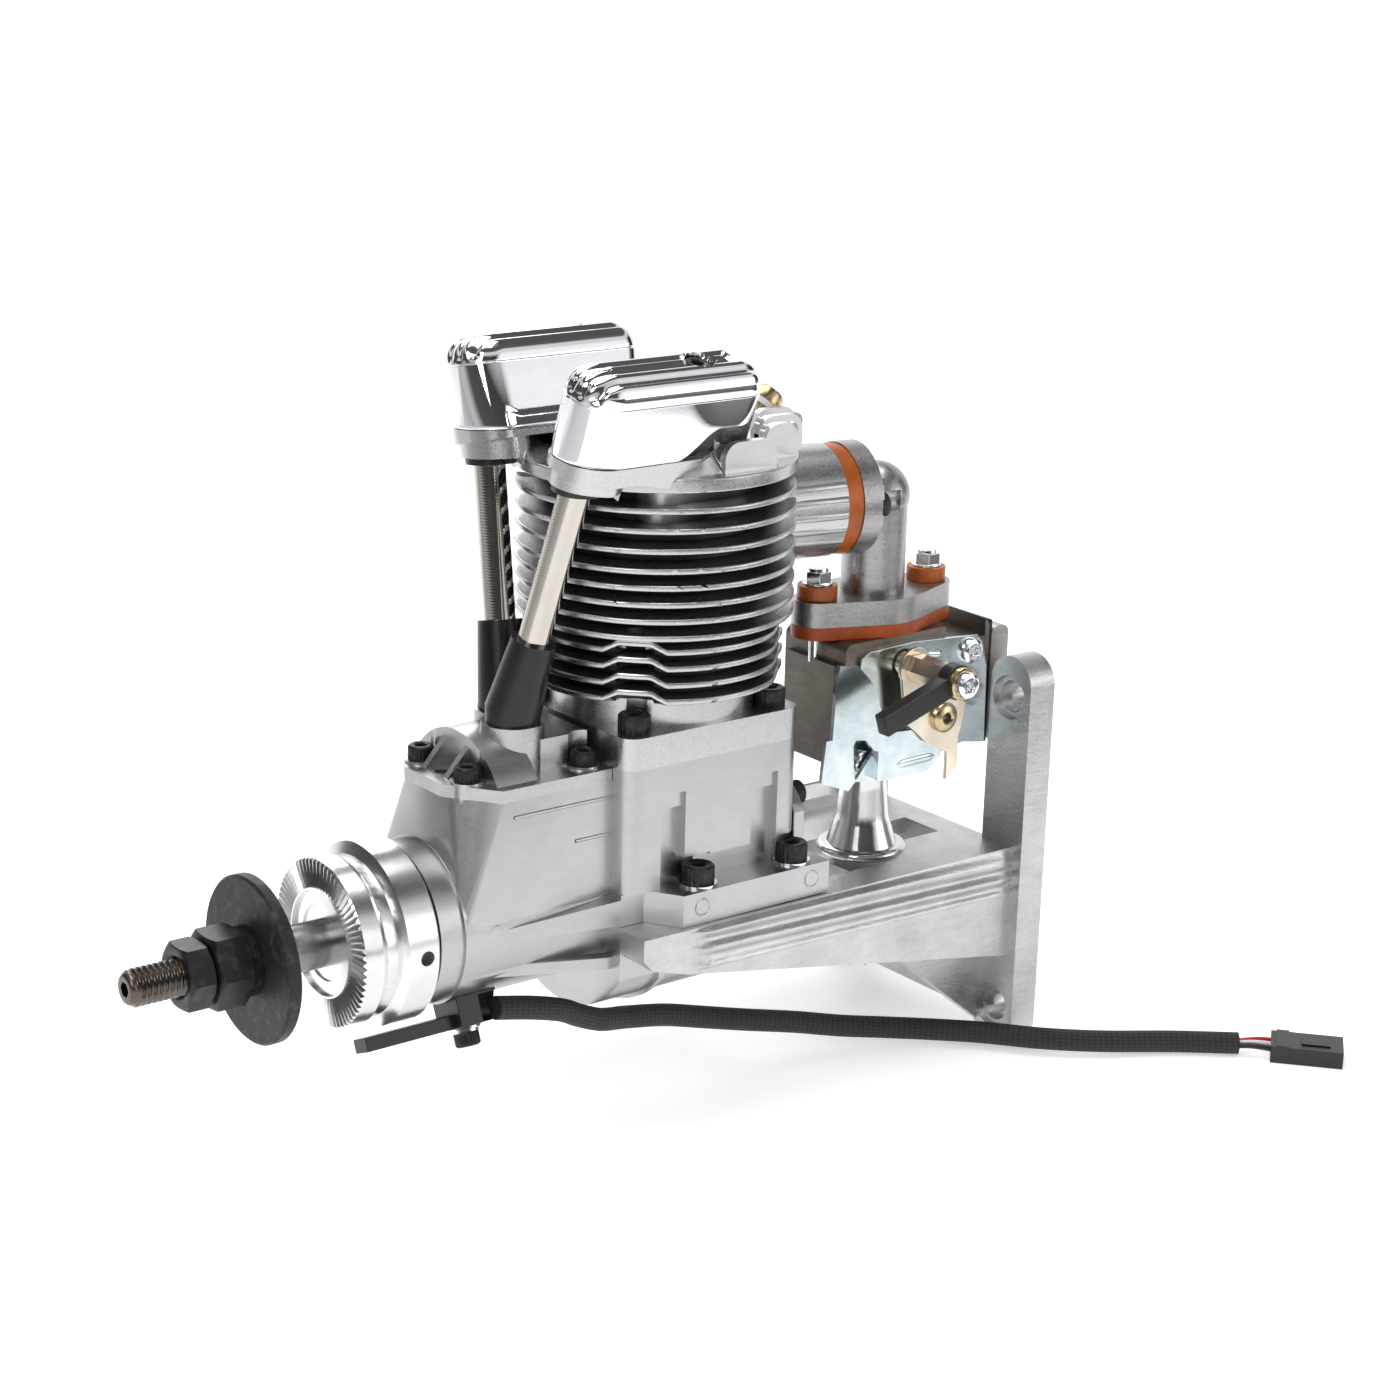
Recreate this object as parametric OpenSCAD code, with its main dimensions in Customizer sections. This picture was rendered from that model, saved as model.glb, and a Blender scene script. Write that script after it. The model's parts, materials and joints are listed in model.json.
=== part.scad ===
// Single-cylinder four-stroke model aircraft engine on its firewall mount.
// The modules are drawn from the point where the cylinder axis meets the crank axis:
// X runs back along the crankshaft, Y to the far side, Z up along the cylinder.
// from_firewall() then moves them, so that the origin is the middle of the firewall holes.

/* [Crank and piston] */
// Cylinder bore
bore_d = 38; // [36:0.5:39]
// Piston stroke
stroke = 32; // [28:1:33]
// Connecting rod length between centres
rod_len = 46; // [45.8:0.1:46.4]
// Crankpin diameter
crankpin_d = 8; // [7:0.5:9]
// Wrist pin diameter
wrist_pin_d = 8; // [6:0.5:9]
// Crank web radius
web_r = 19.5; // [19:0.1:20]
// Crank web thickness
web_t = 8; // [6:0.5:8.5]
// Diameter of the propeller thread
thread_d = 8; // [6:0.5:9]
// Diameter of the plain propeller shaft
shaft_d = 10; // [9:0.5:10.5]
// Diameter of the main journal
journal_d = 15; // [13:0.5:16]
// Distance of the shaft's tip in front of the cylinder axis
shaft_tip = 127.8; // [124:0.2:132]

/* [Propeller drive] */
// Distance of the hub's front face in front of the cylinder axis
hub_front = 84; // [82:0.5:86]
// Length of the drive hub
hub_len = 17; // [16:0.5:17.5]
// Radius of the hub's rear cylinder
hub_r = 19.6; // [18:0.2:21]
// Outer radius of the ring of serrations
serration_r = 17.4; // [16:0.2:18]
// Radial teeth on the hub's front face
serrations = 72; // [48:4:80]
// Radius of the propeller washer
washer_r = 17.6; // [15:0.2:19]
// Thickness of the propeller washer
washer_t = 2.6; // [2:0.1:3]
// Gap between hub and washer, where the propeller goes
prop_gap = 14.2; // [12:0.1:14.5]
// Width of the propeller nut across its flats
prop_nut_w = 13; // [12:0.5:14]
// Length of the propeller nut
prop_nut_len = 8.6; // [8:0.2:9]
// Length of the lock nut
lock_nut_len = 5; // [4:0.2:6]

/* [Crankcase] */
// Half width of the crankcase block across the engine
block_half = 23.5; // [23:0.1:24]
// Front end of the block from the cylinder axis
block_front = 23.5; // [23.2:0.1:23.8]
// Rear end of the block from the cylinder axis
block_rear = 23.5; // [23.2:0.1:23.8]
// Height of the block's top above the crank axis
block_top = 32; // [31:0.2:33]
// Radius of the crank chamber
chamber_r = 20.2; // [20.1:0.1:20.4]
// Outer radius of the round belly
belly_r = 26.5; // [26:0.1:27]
// Half width of the belly between the mount's arms
belly_half = 21.8; // [21.7:0.1:22]
// Top of the beam flanges above the crank axis
beam_top = 4.4; // [4:0.1:5]
// Thickness of the beam flanges
beam_t = 7.2; // [6:0.1:8]
// Half width over the beam flanges
beam_half = 29.5; // [29:0.1:30]
// Half spacing of the mount screws across the engine
beam_screw_y = 25; // [24.9:0.1:25.4]
// Place of the front mount screws along the engine
beam_screw_x1 = -5.4; // [-6.4:0.2:-4.4]
// Place of the rear mount screws along the engine
beam_screw_x2 = 20.4; // [19.6:0.2:21]
// Height of the cam cover seam above the crank axis
cam_seam = 29; // [28.6:0.1:29.2]
// Half width of the cam chest
chest_half = 18; // [17.6:0.1:18.2]
// Front end of the cam chest from the cylinder axis
chest_front = 52; // [51:0.2:53]
// Thickness of the cam cover plate
cam_plate_t = 2.7; // [2.5:0.1:2.8]

/* [Valve gear] */
// Gear tooth module
gear_mod = 0.9; // [0.88:0.01:0.91]
// Teeth on the crank gear, half as many as on the cam gear
crank_teeth = 16; // [16:1:16]
// Lean of each rocker box away from upright
lean = 16; // [15.6:0.1:16.4]
// Height above the crank axis where the two leaning planes meet
lean_z = 37; // [36.5:0.1:37.5]
// Valve stem diameter
stem_d = 4; // [3:0.2:4.4]
// Valve head radius
valve_r = 5.6; // [5:0.1:6]
// Valve lift
valve_lift = 4; // [3:0.2:4.2]
// Rocker shaft diameter
rocker_shaft_d = 5; // [4:0.2:5.6]
// Pushrod diameter
pushrod_d = 2.5; // [2:0.1:3]
// Outer diameter of the pushrod tubes
tube_d = 6.8; // [6.2:0.1:7]
// Tappet diameter
tappet_d = 8; // [7:0.2:8.4]

/* [Cylinder] */
// Height of the cylinder flange above its seam
cyl_flange_t = 7; // [6.5:0.1:7.5]
// Radius of the lower fins
fin_r_low = 28; // [27.5:0.1:28.6]
// Radius of the upper fins
fin_r_up = 30.2; // [29.6:0.1:30.8]
// Height of the lowest fin above the crank axis
fin_z0 = 45.4; // [45:0.1:45.8]
// Spacing of the lower fins
fin_pitch = 3.57; // [3.5:0.01:3.62]
// Thickness of a fin
fin_t = 1.3; // [1:0.05:1.5]
// Height of the head's top plate above the crank axis
head_top = 94; // [93.5:0.1:94.5]
// Height of the combustion chamber's roof above the crank axis
roof_z = 76; // [75.8:0.1:76.4]
// Angle of the intake port from the engine's centre plane
port_angle = 9; // [8:0.2:10]
// Height of the intake port's axis
port_z = 79.5; // [79:0.1:80]
// Outer radius of the intake port
port_r = 12.6; // [12:0.1:13]
// Bore radius of the intake and exhaust ports
port_bore_r = 6; // [5:0.1:6.2]
// Length of the intake port from the cylinder axis
port_len = 41; // [40.5:0.1:41.5]

/* [Rocker boxes] */
// Front end of the rocker boxes from the cylinder axis
box_front = 41.5; // [41:0.1:42]
// Rear end of the rocker boxes from the cylinder axis
box_rear = 11; // [10.6:0.1:11.4]
// Half width of the rocker boxes
box_half = 9.4; // [9:0.1:9.8]
// Distance of the cover seam along the lean
box_seam = 63.6; // [63.2:0.1:64]
// Height of the rocker covers
cover_h = 19.5; // [19:0.1:20]
// Wall of the rocker covers
cover_wall = 1.6; // [1.4:0.1:1.8]
// Place of the cover screw along the engine
cover_screw_x = -7; // [-8:0.1:-6]

/* [Carburettor] */
// Distance of the carburettor bore behind the cylinder axis
carb_x = 55; // [54.5:0.1:55.5]
// Half depth of the carburettor body across the engine
carb_half = 10.5; // [10.2:0.1:10.7]
// Height of the carburettor's lower face above the crank axis
carb_low = 19.5; // [19:0.1:20]
// Height of the carburettor's upper face above the crank axis
carb_high = 49.2; // [49:0.1:49.6]
// Spacing of the carburettor studs
stud_space = 32.4; // [32:0.1:33]
// Radius of the carburettor bore
venturi_r = 5; // [4.5:0.1:5.5]
// Thickness of the insulating gasket under the elbow
gasket_t = 3; // [2.6:0.1:3.4]
// Thickness of the elbow's lower flange
elbow_flange_t = 5.6; // [5.2:0.1:6]
// Outer radius of the elbow pipe
elbow_r = 7.2; // [7:0.1:7.4]
// Thickness of the insulating ring at the port
ring_t = 4; // [3.5:0.1:4.5]
// Height of the throttle shaft above the crank axis
throttle_z = 43; // [42.5:0.1:43.5]
// Height of the choke shaft above the crank axis
choke_z = 24; // [23.6:0.1:24.4]
// Height of the velocity stack's lip above the crank axis
stack_low = -4.6; // [-5:0.1:-4.4]
// Radius of the velocity stack's lip
lip_r = 10.4; // [9.6:0.1:10.8]

/* [Engine mount] */
// Distance of the firewall behind the cylinder axis
firewall_x = 89.5; // [89:0.1:91]
// Thickness of the firewall frame
frame_t = 7.5; // [7:0.1:7.8]
// Half width of the firewall frame
frame_half = 34; // [33.6:0.1:34.4]
// Half width of the window in the frame
window_half = 20.8; // [20.6:0.1:21]
// Top of the frame above the crank axis
frame_top = 42; // [41:0.2:43]
// Bottom of the frame below the crank axis
frame_low = -51; // [-52:0.2:-50.4]
// Half width over the mount's arms
arm_half = 31; // [30.6:0.1:31.4]
// Distance between the firewall holes across the engine
hole_space_y = 54; // [53:0.2:54.4]
// Distance between the firewall holes up the frame
hole_space_z = 76; // [75:0.2:77]
// Height of the middle of the firewall holes above the crank axis
hole_mid_z = -5.8; // [-6.2:0.1:-5.4]
// Diameter of the firewall holes
hole_d = 4.3; // [4:0.1:4.6]

/* [Sensor lead] */
// Diameter of the braided lead
lead_d = 5.2; // [4.8:0.1:5.4]
// Length of the plug
plug_len = 16.6; // [16:0.2:18]

/* [Hidden] */
$fn = 48;

crank_r = stroke / 2;
run_gap = 0.05;
seat_gap = 0.3;
head_over = 0.6;
m4_r = 2;
m4_head_r = 3.5;
m3_r = 1.5;
m3_head_r = 2.75;
eps = 0.02;

hub_rear = hub_front - hub_len;
washer_back = hub_front + prop_gap;
washer_front = washer_back + washer_t;
nut_front = washer_front + prop_nut_len;
lock_front = nut_front + lock_nut_len;
thread_start = washer_back - 0.6;

nose_front = 65.6;
nose_rear = 60;
nose_r = 17.6;
housing_r = 18.2;
front_bore_r = 12;
front_bearing_w = 6;
front_journal_d = 12;
rear_bearing_r = 16;
rear_bearing_w = 9;
web_front = -12;
bearing_rear = web_front - 1;
bearing_front = bearing_rear - rear_bearing_w;

crank_gear_r = gear_mod * crank_teeth / 2;
cam_z = 3 * crank_gear_r;
gear_front = -49;
gear_w = 4.8;
cam_shaft_r = 4;
cam_base_r = 6;
cam_nose = 3;
lobe_w = 3.6;
tappet_x = [-39.8, -35.4];
tappet_y = 4.7;
tappet_low = cam_z + cam_base_r + cam_nose + seat_gap;
tappet_top = 43;
boss_r = 6.7;
boss_top = 41.5;

pin_rest = rod_len - crank_r;
piston_crown = 12.5;
piston_skirt = 9.6;
piston_r = bore_d / 2 - run_gap;
liner_r = bore_d / 2 + 2.4;
liner_low = 24;
barrel_r = 22.5;
cyl_base = block_top;
cyl_half = block_half;
cyl_screw = 18.2;
fin_count = 9;
upper_pitch = 4.2;
fin_z_top = fin_z0 + (fin_count - 1) * fin_pitch;

valve_x = 2;
rocker_x = -14.75;
rocker_end = rocker_x - (valve_x - rocker_x);
rocker_axis = 71.6;
box_floor = 60;
stem_top = rocker_axis - 2.2;
spring_seat = 56;
valve_face = (roof_z - lean_z) / cos(lean) + 0.4;
shaft_r = rocker_shaft_d / 2;

notch_y = 6.2;
port_bolt_r = 9.6;
port_deep = bore_d / 2 + 1.5;
ring_back = port_len + ring_t;
elbow_back = ring_back + 4.6;
carb_y = -carb_x * tan(port_angle);
carb_dist = carb_x / cos(port_angle);
flange_low = carb_high + gasket_t;
flange_top = flange_low + elbow_flange_t;
bush_t = 3.2;
carb_front = carb_x - 16;
carb_rear = carb_x + 27.2;
pump_t = 5.3;
pump_gasket_t = 0.8;
near_face = carb_y - carb_half;
arm_depth = 16.4;
bracket_t = 1;

beam_low = beam_top - beam_t;
arm_top = beam_low;
frame_front = firewall_x - frame_t;
deck_top = -6.4;
washer_h = 0.6;
sensor_deg = 24;

// Points of the lead's route, from the sensor holder to the plug
lead_start = [-50, -14, -17.5];
lead_route = [lead_start, [-41, -14.6, -19.4], [-32.5, -13.4, -22.4], [-27, -12.2, -25.4],
    [-20, -10.6, -28.6], [-11.6, -8, -31], [0, -7, -33.6], [10.2, -7.5, -36.4],
    [22, -9, -39.4], [35, -11, -42.4], [46, -14.4, -44.8], [55.9, -18.4, -46.2],
    [66, -24.6, -47], [75.2, -32, -47.4], [84.3, -42.4, -47.4], [95.6, -51, -47.8],
    [109.7, -59.3, -48.3], [122.1, -68.9, -48.35]];
lead_end = lead_route[len(lead_route) - 1];
lead_sides = 8;
wire_len = 7.7;
plug_turn = -11;
plug_w = 9.9;

module from_firewall() translate([-firewall_x, 0, -hole_mid_z]) children();
// turns a shape that is drawn along Z so that it lies along +X
module along_x() rotate([0, 90, 0]) children();
// turns a shape that is drawn along Z so that it lies along -Y, towards the near side
module along_near() rotate([90, 0, 0]) children();
// the leaning plane of one side's valve gear; side is -1 near and 1 far
module leaning(side) translate([0, 0, lean_z]) rotate([-side * lean, 0, 0]) children();
module port_frame() rotate([0, 0, -port_angle]) translate([0, 0, port_z]) children();

module slot2d(x1, x2, half, r) {
    for (y = [-1, 1])
        for (x = [x1 + r, x2 - r])
            translate([x, y * (half - r)]) circle(r);
    translate([x1 + r, -half]) square([x2 - x1 - 2 * r, 2 * half]);
    translate([x1, -half + r]) square([x2 - x1, 2 * half - 2 * r]);
}

module rounded_box(size, r) {
    translate([r, 0, 0]) cube([size.x - 2 * r, size.y, size.z]);
    translate([0, 0, r]) cube([size.x, size.y, size.z - 2 * r]);
    for (x = [r, size.x - r])
        for (z = [r, size.z - r])
            translate([x, size.y, z]) along_near() cylinder(r = r, h = size.y);
}

// socket-head screw, head up, its seat at the origin
module cap_screw(r, head_r, len, head_h) {
    difference() {
        union() {
            cylinder(r = head_r, h = head_h);
            translate([0, 0, -len]) cylinder(r = r, h = len + eps);
        }
        translate([0, 0, head_h - head_r * 0.55]) cylinder(r = head_r * 0.48, h = head_r, $fn = 6);
    }
}

module hex_nut(width, h, bore_r) {
    difference() {
        cylinder(r = width / 2 / cos(30), h = h, $fn = 6);
        translate([0, 0, -1]) cylinder(r = bore_r, h = h + 2);
    }
}

function gear_point(teeth, r, share) = let(a = 360 * share / teeth) [r * cos(a), r * sin(a)];
// outline of a spur gear with its first tooth on +X
module gear2d(teeth) {
    pitch_r = gear_mod * teeth / 2;
    tip_r = pitch_r + gear_mod * 0.85;
    root_r = pitch_r - gear_mod * 1.15;
    polygon([for (i = [0:teeth - 1])
        for (p = [[root_r, -0.29], [tip_r, -0.13], [tip_r, 0.13], [root_r, 0.29]])
            gear_point(teeth, p[0], i + p[1])]);
}

module crankshaft() color("silver") from_firewall() {
    cheek = crankpin_d;
    along_x() difference() {
        union() {
            rotate_extrude() polygon([[0, -shaft_tip], [thread_d / 2 - 1, -shaft_tip],
                [thread_d / 2, -shaft_tip + 1], [thread_d / 2, -lock_front - 1],
                [thread_d / 2 - 0.7, -lock_front - 1], [thread_d / 2 - 0.7, -lock_front - 0.2],
                [thread_d / 2 - 0.03, -lock_front - 0.2], [thread_d / 2 - 0.03, -thread_start],
                [shaft_d / 2, -thread_start], [shaft_d / 2, -nose_front],
                [front_journal_d / 2, -nose_front], [front_journal_d / 2, gear_front + gear_w],
                [journal_d / 2, gear_front + gear_w], [journal_d / 2, bearing_rear],
                [journal_d / 2 + 2, bearing_rear], [journal_d / 2 + 2, web_front],
                [0, web_front]]);
            translate([0, 0, web_front]) linear_extrude(web_t) intersection() {
                circle(web_r);
                union() {
                    circle(cheek + 4);
                    translate([-web_r, -web_r]) square([web_r, 2 * web_r]);
                    translate([0, -cheek]) square([web_r, 2 * cheek]);
                }
            }
        }
        translate([0, 0, -shaft_tip - 1]) cylinder(r = 1.7, h = 4, $fn = 6);
        translate([crank_r, 0, web_front - 1]) cylinder(r = crankpin_d / 2, h = web_t + 2);
    }
}

module crank_gear() color("dimgray") from_firewall()
    translate([gear_front, 0, 0]) along_x() difference() {
        rotate([0, 0, 180]) linear_extrude(gear_w - eps) gear2d(crank_teeth);
        translate([0, 0, -1]) cylinder(r = front_journal_d / 2, h = gear_w + 2);
    }

module drive_hub() color("gainsboro") from_firewall() {
    waist_r = hub_r - 2.4;
    tooth_deg = 360 / serrations;
    face_r = 11.2;
    along_x() difference() {
        translate([0, 0, -hub_front]) rotate_extrude() polygon([[shaft_d / 2, 1.2],
            [face_r - 3, 1.2], [face_r - 3, 0.8], [face_r, 0.8], [face_r, 0],
            [serration_r, 0], [serration_r + 0.4, 0.5], [serration_r + 0.6, 4.6],
            [waist_r, 6], [waist_r, 8.4], [hub_r, 9.6], [hub_r, hub_len - 0.5],
            [hub_r - 0.5, hub_len], [shaft_d / 2, hub_len]]);
        for (i = [0:serrations - 1])
            rotate([0, 0, i * tooth_deg]) translate([face_r + 0.4, 0, -hub_front])
                rotate([45, 0, 0]) translate([0, -0.45, -0.45])
                    cube([serration_r, 0.9, 0.9]);
        translate([0, 0, -hub_rear - 3.2]) rotate([90, 0, 0])
            cylinder(r = 1.6, h = hub_r + 1);
    }
}

module trigger_magnet() color("gray") from_firewall()
    translate([-hub_rear - 3.2, 0, 0]) along_near() translate([0, 0, hub_r - 6])
        cylinder(r = 1.6, h = 4);

module prop_washer() color([0.1, 0.1, 0.11]) from_firewall() along_x()
    rotate_extrude() polygon([[thread_d / 2 + 0.1, -washer_back], [washer_r, -washer_back],
        [washer_r, -washer_front + 0.5], [washer_r - 0.5, -washer_front],
        [thread_d / 2 + 0.1, -washer_front]]);

module prop_nut() color([0.1, 0.1, 0.11]) from_firewall() along_x() {
    collar = 2;
    translate([0, 0, -nut_front]) hex_nut(prop_nut_w, prop_nut_len - collar, thread_d / 2 + run_gap);
    translate([0, 0, -washer_front - collar]) difference() {
        cylinder(r = prop_nut_w / 2 + 0.6, h = collar);
        translate([0, 0, -1]) cylinder(r = thread_d / 2 + run_gap, h = collar + 2);
    }
}

module lock_nut() color([0.1, 0.1, 0.11]) from_firewall() along_x()
    translate([0, 0, -lock_front]) intersection() {
        hex_nut(prop_nut_w - 1.4, lock_nut_len, thread_d / 2 + run_gap);
        rotate_extrude() polygon([[0, 0], [prop_nut_w / 2 - 0.6, 0], [prop_nut_w / 2 + 0.6, 1.2],
            [prop_nut_w / 2 + 0.6, lock_nut_len], [0, lock_nut_len]]);
    }

module beam_outline(side) {
    scale([1, side]) polygon([[-block_front, 16], [-block_front, 18], [-18.4, 20.4], [-12.6, beam_half],
        [27.5, beam_half], [27.5, belly_half + 0.3], [block_rear, belly_half + 0.3],
        [block_rear, 16]]);
}

module side_cut(side, span, depth, low, high)
    translate([span[0], side > 0 ? block_half - depth : -block_half - 1, low])
        cube([span[1] - span[0], depth + 1, high - low]);

module crankcase() color([0.78, 0.78, 0.8]) from_firewall() difference() {
    recess = 2.6;
    shallow = 1;
    pad_low = 10;
    strip_low = 22;
    window_top = 25.4;
    windows = [[-14.5, -8.1], [9.7, 17]];
    union() {
        translate([-block_front, 0, beam_top]) linear_extrude(block_top - beam_top)
            slot2d(0, block_front + block_rear, block_half, 4);
        intersection() {
            union() {
                translate([-block_front, 0, 0]) along_x()
                    cylinder(r = belly_r, h = block_front + block_rear);
                translate([-13, 0, 0]) along_x() cylinder(r = belly_r + 0.9, h = 1.4);
            }
            translate([-40, -belly_half, -40]) cube([80, 2 * belly_half, 40 + beam_top]);
        }
        for (side = [-1, 1])
            translate([0, 0, beam_low]) linear_extrude(beam_t) beam_outline(side);
    }
    for (side = [-1, 1]) {
        for (span = windows) {
            side_cut(side, span, recess, beam_top, strip_low);
            side_cut(side, span, shallow, strip_low - 1, window_top);
        }
        side_cut(side, [windows[0][0], windows[1][1]], recess, beam_top, pad_low);
        for (x = [beam_screw_x1, beam_screw_x2])
            translate([x, side * beam_screw_y, beam_top]) {
                cylinder(r = m4_head_r + 0.9, h = 6);
                translate([0, 0, -beam_t - 1]) cylinder(r = m4_r + 0.1, h = beam_t + 2);
            }
        for (x = [-cyl_screw, cyl_screw])
            translate([x, side * cyl_screw, block_top - 9]) cylinder(r = m4_r, h = 10);
    }
    translate([web_front - 0.6, 0, 0]) along_x() cylinder(r = chamber_r, h = 60);
    cylinder(r = bore_d / 2 + head_over, h = block_top + 1);
    translate([0, 0, liner_low - 0.5]) cylinder(r = liner_r + run_gap, h = block_top);
    translate([-block_front - 1, 0, 0]) along_x()
        cylinder(r = rear_bearing_r, h = block_front + 1 + bearing_rear);
    translate([bearing_rear - eps, 0, 0]) along_x() cylinder(r = rear_bearing_r - 2, h = 3);
    translate([-4.2, 0, -crank_r]) along_x() cylinder(r = crankpin_d / 2 + 3.6, h = 8.4);
    for (y = [-1, 1]) for (z = [-1, 1])
        translate([block_rear - 6, y * rear_bolt, z * rear_bolt]) along_x()
            cylinder(r = m3_r, h = 7);
}

module front_housing() color([0.78, 0.78, 0.8]) from_firewall() {
    rib_t = 2.6;
    difference() {
        union() {
            hull() {
                translate([-nose_rear, 0, 0]) along_x() cylinder(r = nose_r, h = 1, $fn = 40);
                translate([-chest_front - 6, -8, 10]) cube([1, 16, cam_seam - 10]);
                translate([-chest_front + 1.4, -chest_half, 5])
                    cube([chest_front - 1.4 - block_front, 2 * chest_half, cam_seam - 5]);
            }
            translate([-nose_rear, 0, 0]) along_x()
                cylinder(r = housing_r, h = nose_rear - block_front);
            translate([-nose_front, 0, 0]) along_x() cylinder(r = nose_r, h = nose_front - nose_rear);
            for (y = [-1, 1]) translate([cam_screws()[0].x, y * cam_screws()[1].y, cam_seam - 7])
                cylinder(r = 3.4, h = 7);
            for (side = [-1, 1]) hull() {
                translate([-nose_rear, side > 0 ? nose_r - 2 : -nose_r + 1, -1]) cube([1, 1, 1.6]);
                translate([-block_front - 1, side > 0 ? 18 : -22, beam_low + 0.6]) cube([1, 4, beam_t - 1.6]);
            }
            for (side = [-1, 1]) hull() {
                translate([-nose_rear, side > 0 ? 12.6 : -14, -9]) cube([1, 1.4, rib_t]);
                translate([-block_front - 1, side > 0 ? 16 : -19, -13]) cube([1, 3, rib_t]);
            }
        }
        translate([-nose_front - 1, 0, 0]) along_x() cylinder(r = front_bore_r, h = front_bearing_w + 1);
        translate([-nose_front, 0, 0]) along_x() cylinder(r = front_bore_r - 2, h = 14);
        translate([gear_front - 3.5, 0, 0]) along_x() cylinder(r = 14.6, h = 50);
        translate([gear_front - 0.8, -tip_half(), 5]) cube([gear_w + 1.6, 2 * tip_half(), 40]);
        translate([gear_front + gear_w, -10.6, 5]) cube([15, 21.2, 40]);
        translate([gear_front - 4.4, 0, cam_z]) along_x() cylinder(r = cam_shaft_r + run_gap, h = 60);
        translate([-55, 0, 0]) sensor_turn() translate([0, 0, -30]) cylinder(r = m3_r, h = 15);
        for (p = cam_screws()) translate([p.x, p.y, cam_seam - 8]) cylinder(r = m3_r, h = 9);
    }
}
function tip_half() = gear_mod * crank_teeth + gear_mod * 0.85 + 0.6;
function cam_screws() = [[-53.8, -8.8], [-53.8, 8.8], [-27.4, -12.8], [-27.4, 12.8]];

// one ball bearing with its races and the groove between them
module bearing(in_r, out_r, w, race) difference() {
    cylinder(r = out_r - 0.01, h = w);
    translate([0, 0, -1]) cylinder(r = in_r + 0.01, h = w + 2);
    for (z = [-1, w - 0.6]) translate([0, 0, z]) difference() {
        cylinder(r = out_r - race, h = 1.6);
        cylinder(r = in_r + race, h = 1.6);
    }
}
module shaft_bearings() color("silver") from_firewall() {
    translate([-nose_front, 0, 0]) along_x() bearing(front_journal_d / 2, front_bore_r, front_bearing_w, 1.6);
    translate([bearing_front, 0, 0]) along_x() bearing(journal_d / 2, rear_bearing_r, rear_bearing_w, 2.4);
}

rear_bolt = 16.3;
module rear_cover() color([0.78, 0.78, 0.8]) from_firewall() difference() {
    union() {
        intersection() {
            translate([block_rear, 0, 0]) along_x() cylinder(r = belly_r - 0.6, h = 3);
            translate([0, -belly_half, -40]) cube([80, 2 * belly_half, 80]);
        }
        translate([block_rear + 3 - eps, 0, 0]) along_x() cylinder(r = 14, h = 2);
        translate([block_rear - 5, 0, 0]) along_x() cylinder(r = chamber_r - run_gap, h = 5 + eps);
    }
    translate([block_rear - 6, 0, 0]) along_x() cylinder(r = chamber_r - 3, h = 6);
    for (y = [-1, 1]) for (z = [-1, 1])
        translate([block_rear - 6, y * rear_bolt, z * rear_bolt]) along_x()
            cylinder(r = m3_r + 0.1, h = 20);
}

module case_screws() color([0.1, 0.1, 0.11]) from_firewall() {
    for (y = [-1, 1]) for (z = [-1, 1])
        translate([block_rear + 3, y * rear_bolt, z * rear_bolt]) along_x()
            cap_screw(m3_r, m3_head_r, 8, 3);
    for (p = cam_screws()) translate([p.x, p.y, cam_seam + cam_plate_t + 0.5])
        cap_screw(m3_r, m3_head_r, 9, 3);
}

module cam_cover() color([0.8, 0.8, 0.82]) from_firewall() {
    plate_top = cam_seam + cam_plate_t;
    dome_r = tip_half() + 2.8;
    difference() {
        union() {
            translate([0, 0, cam_seam]) linear_extrude(cam_plate_t)
                difference() {
                    polygon([[-59, -7], [-59, 7], [-51, chest_half], [-block_front - 0.1, chest_half],
                        [-block_front - 0.1, -chest_half], [-51, -chest_half]]);
                    translate([-54.4, 0]) circle(1.4);
                }
            intersection() {
                translate([gear_front - 1.8, 0, cam_z]) along_x() cylinder(r = dome_r, h = gear_w + 5.2);
                translate([-60, -20, cam_seam]) cube([40, 40, 30]);
            }
            for (y = [-4.2, 4.2]) translate([0, y - 0.8, 0]) rotate([90, 0, 0])
                translate([0, 0, -1.6]) linear_extrude(1.6) polygon([[gear_front - 1.8, plate_top - 1],
                    [gear_front - 1.8, plate_top + 6], [gear_front - 8, plate_top - 1]]);
            for (i = [0, 1]) translate([tappet_x[i], (2 * i - 1) * tappet_y, cam_seam])
                cylinder(r = boss_r, h = boss_top - cam_seam);
            translate([-37, -11, cam_seam]) cube([12, 22, 9.5]);
            for (p = cam_screws()) translate([p.x, p.y, cam_seam])
                cylinder(r = m3_head_r + 0.8, h = cam_plate_t + 0.5);
        }
        difference() {
            translate([gear_front - 0.6, 0, cam_z]) along_x() cylinder(r = tip_half(), h = gear_w + 1.2);
            translate([gear_front - 2, -20, -5]) cube([20, 40, cam_seam + 4.9]);
        }
        translate([gear_front - 0.6, -tip_half(), cam_seam - 1]) cube([gear_w + 1.2, 2 * tip_half(), 2]);
        translate([gear_front - 0.6, 0, cam_z]) along_x() cylinder(r = tip_half(), h = gear_w + 1.2);
        translate([gear_front, 0, cam_z]) along_x() cylinder(r = cam_base_r + cam_nose + 0.6, h = 19);
        for (i = [0, 1]) translate([tappet_x[i], (2 * i - 1) * tappet_y, cam_seam - 1])
            cylinder(r = tappet_d / 2 + run_gap, h = 20);
        for (p = cam_screws()) translate([p.x, p.y, cam_seam - 1]) {
            cylinder(r = m3_r + 0.1, h = 20);
            translate([0, 0, cam_plate_t + 1.5]) cylinder(r = m3_head_r + 0.4, h = 20);
        }
    }
}

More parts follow.
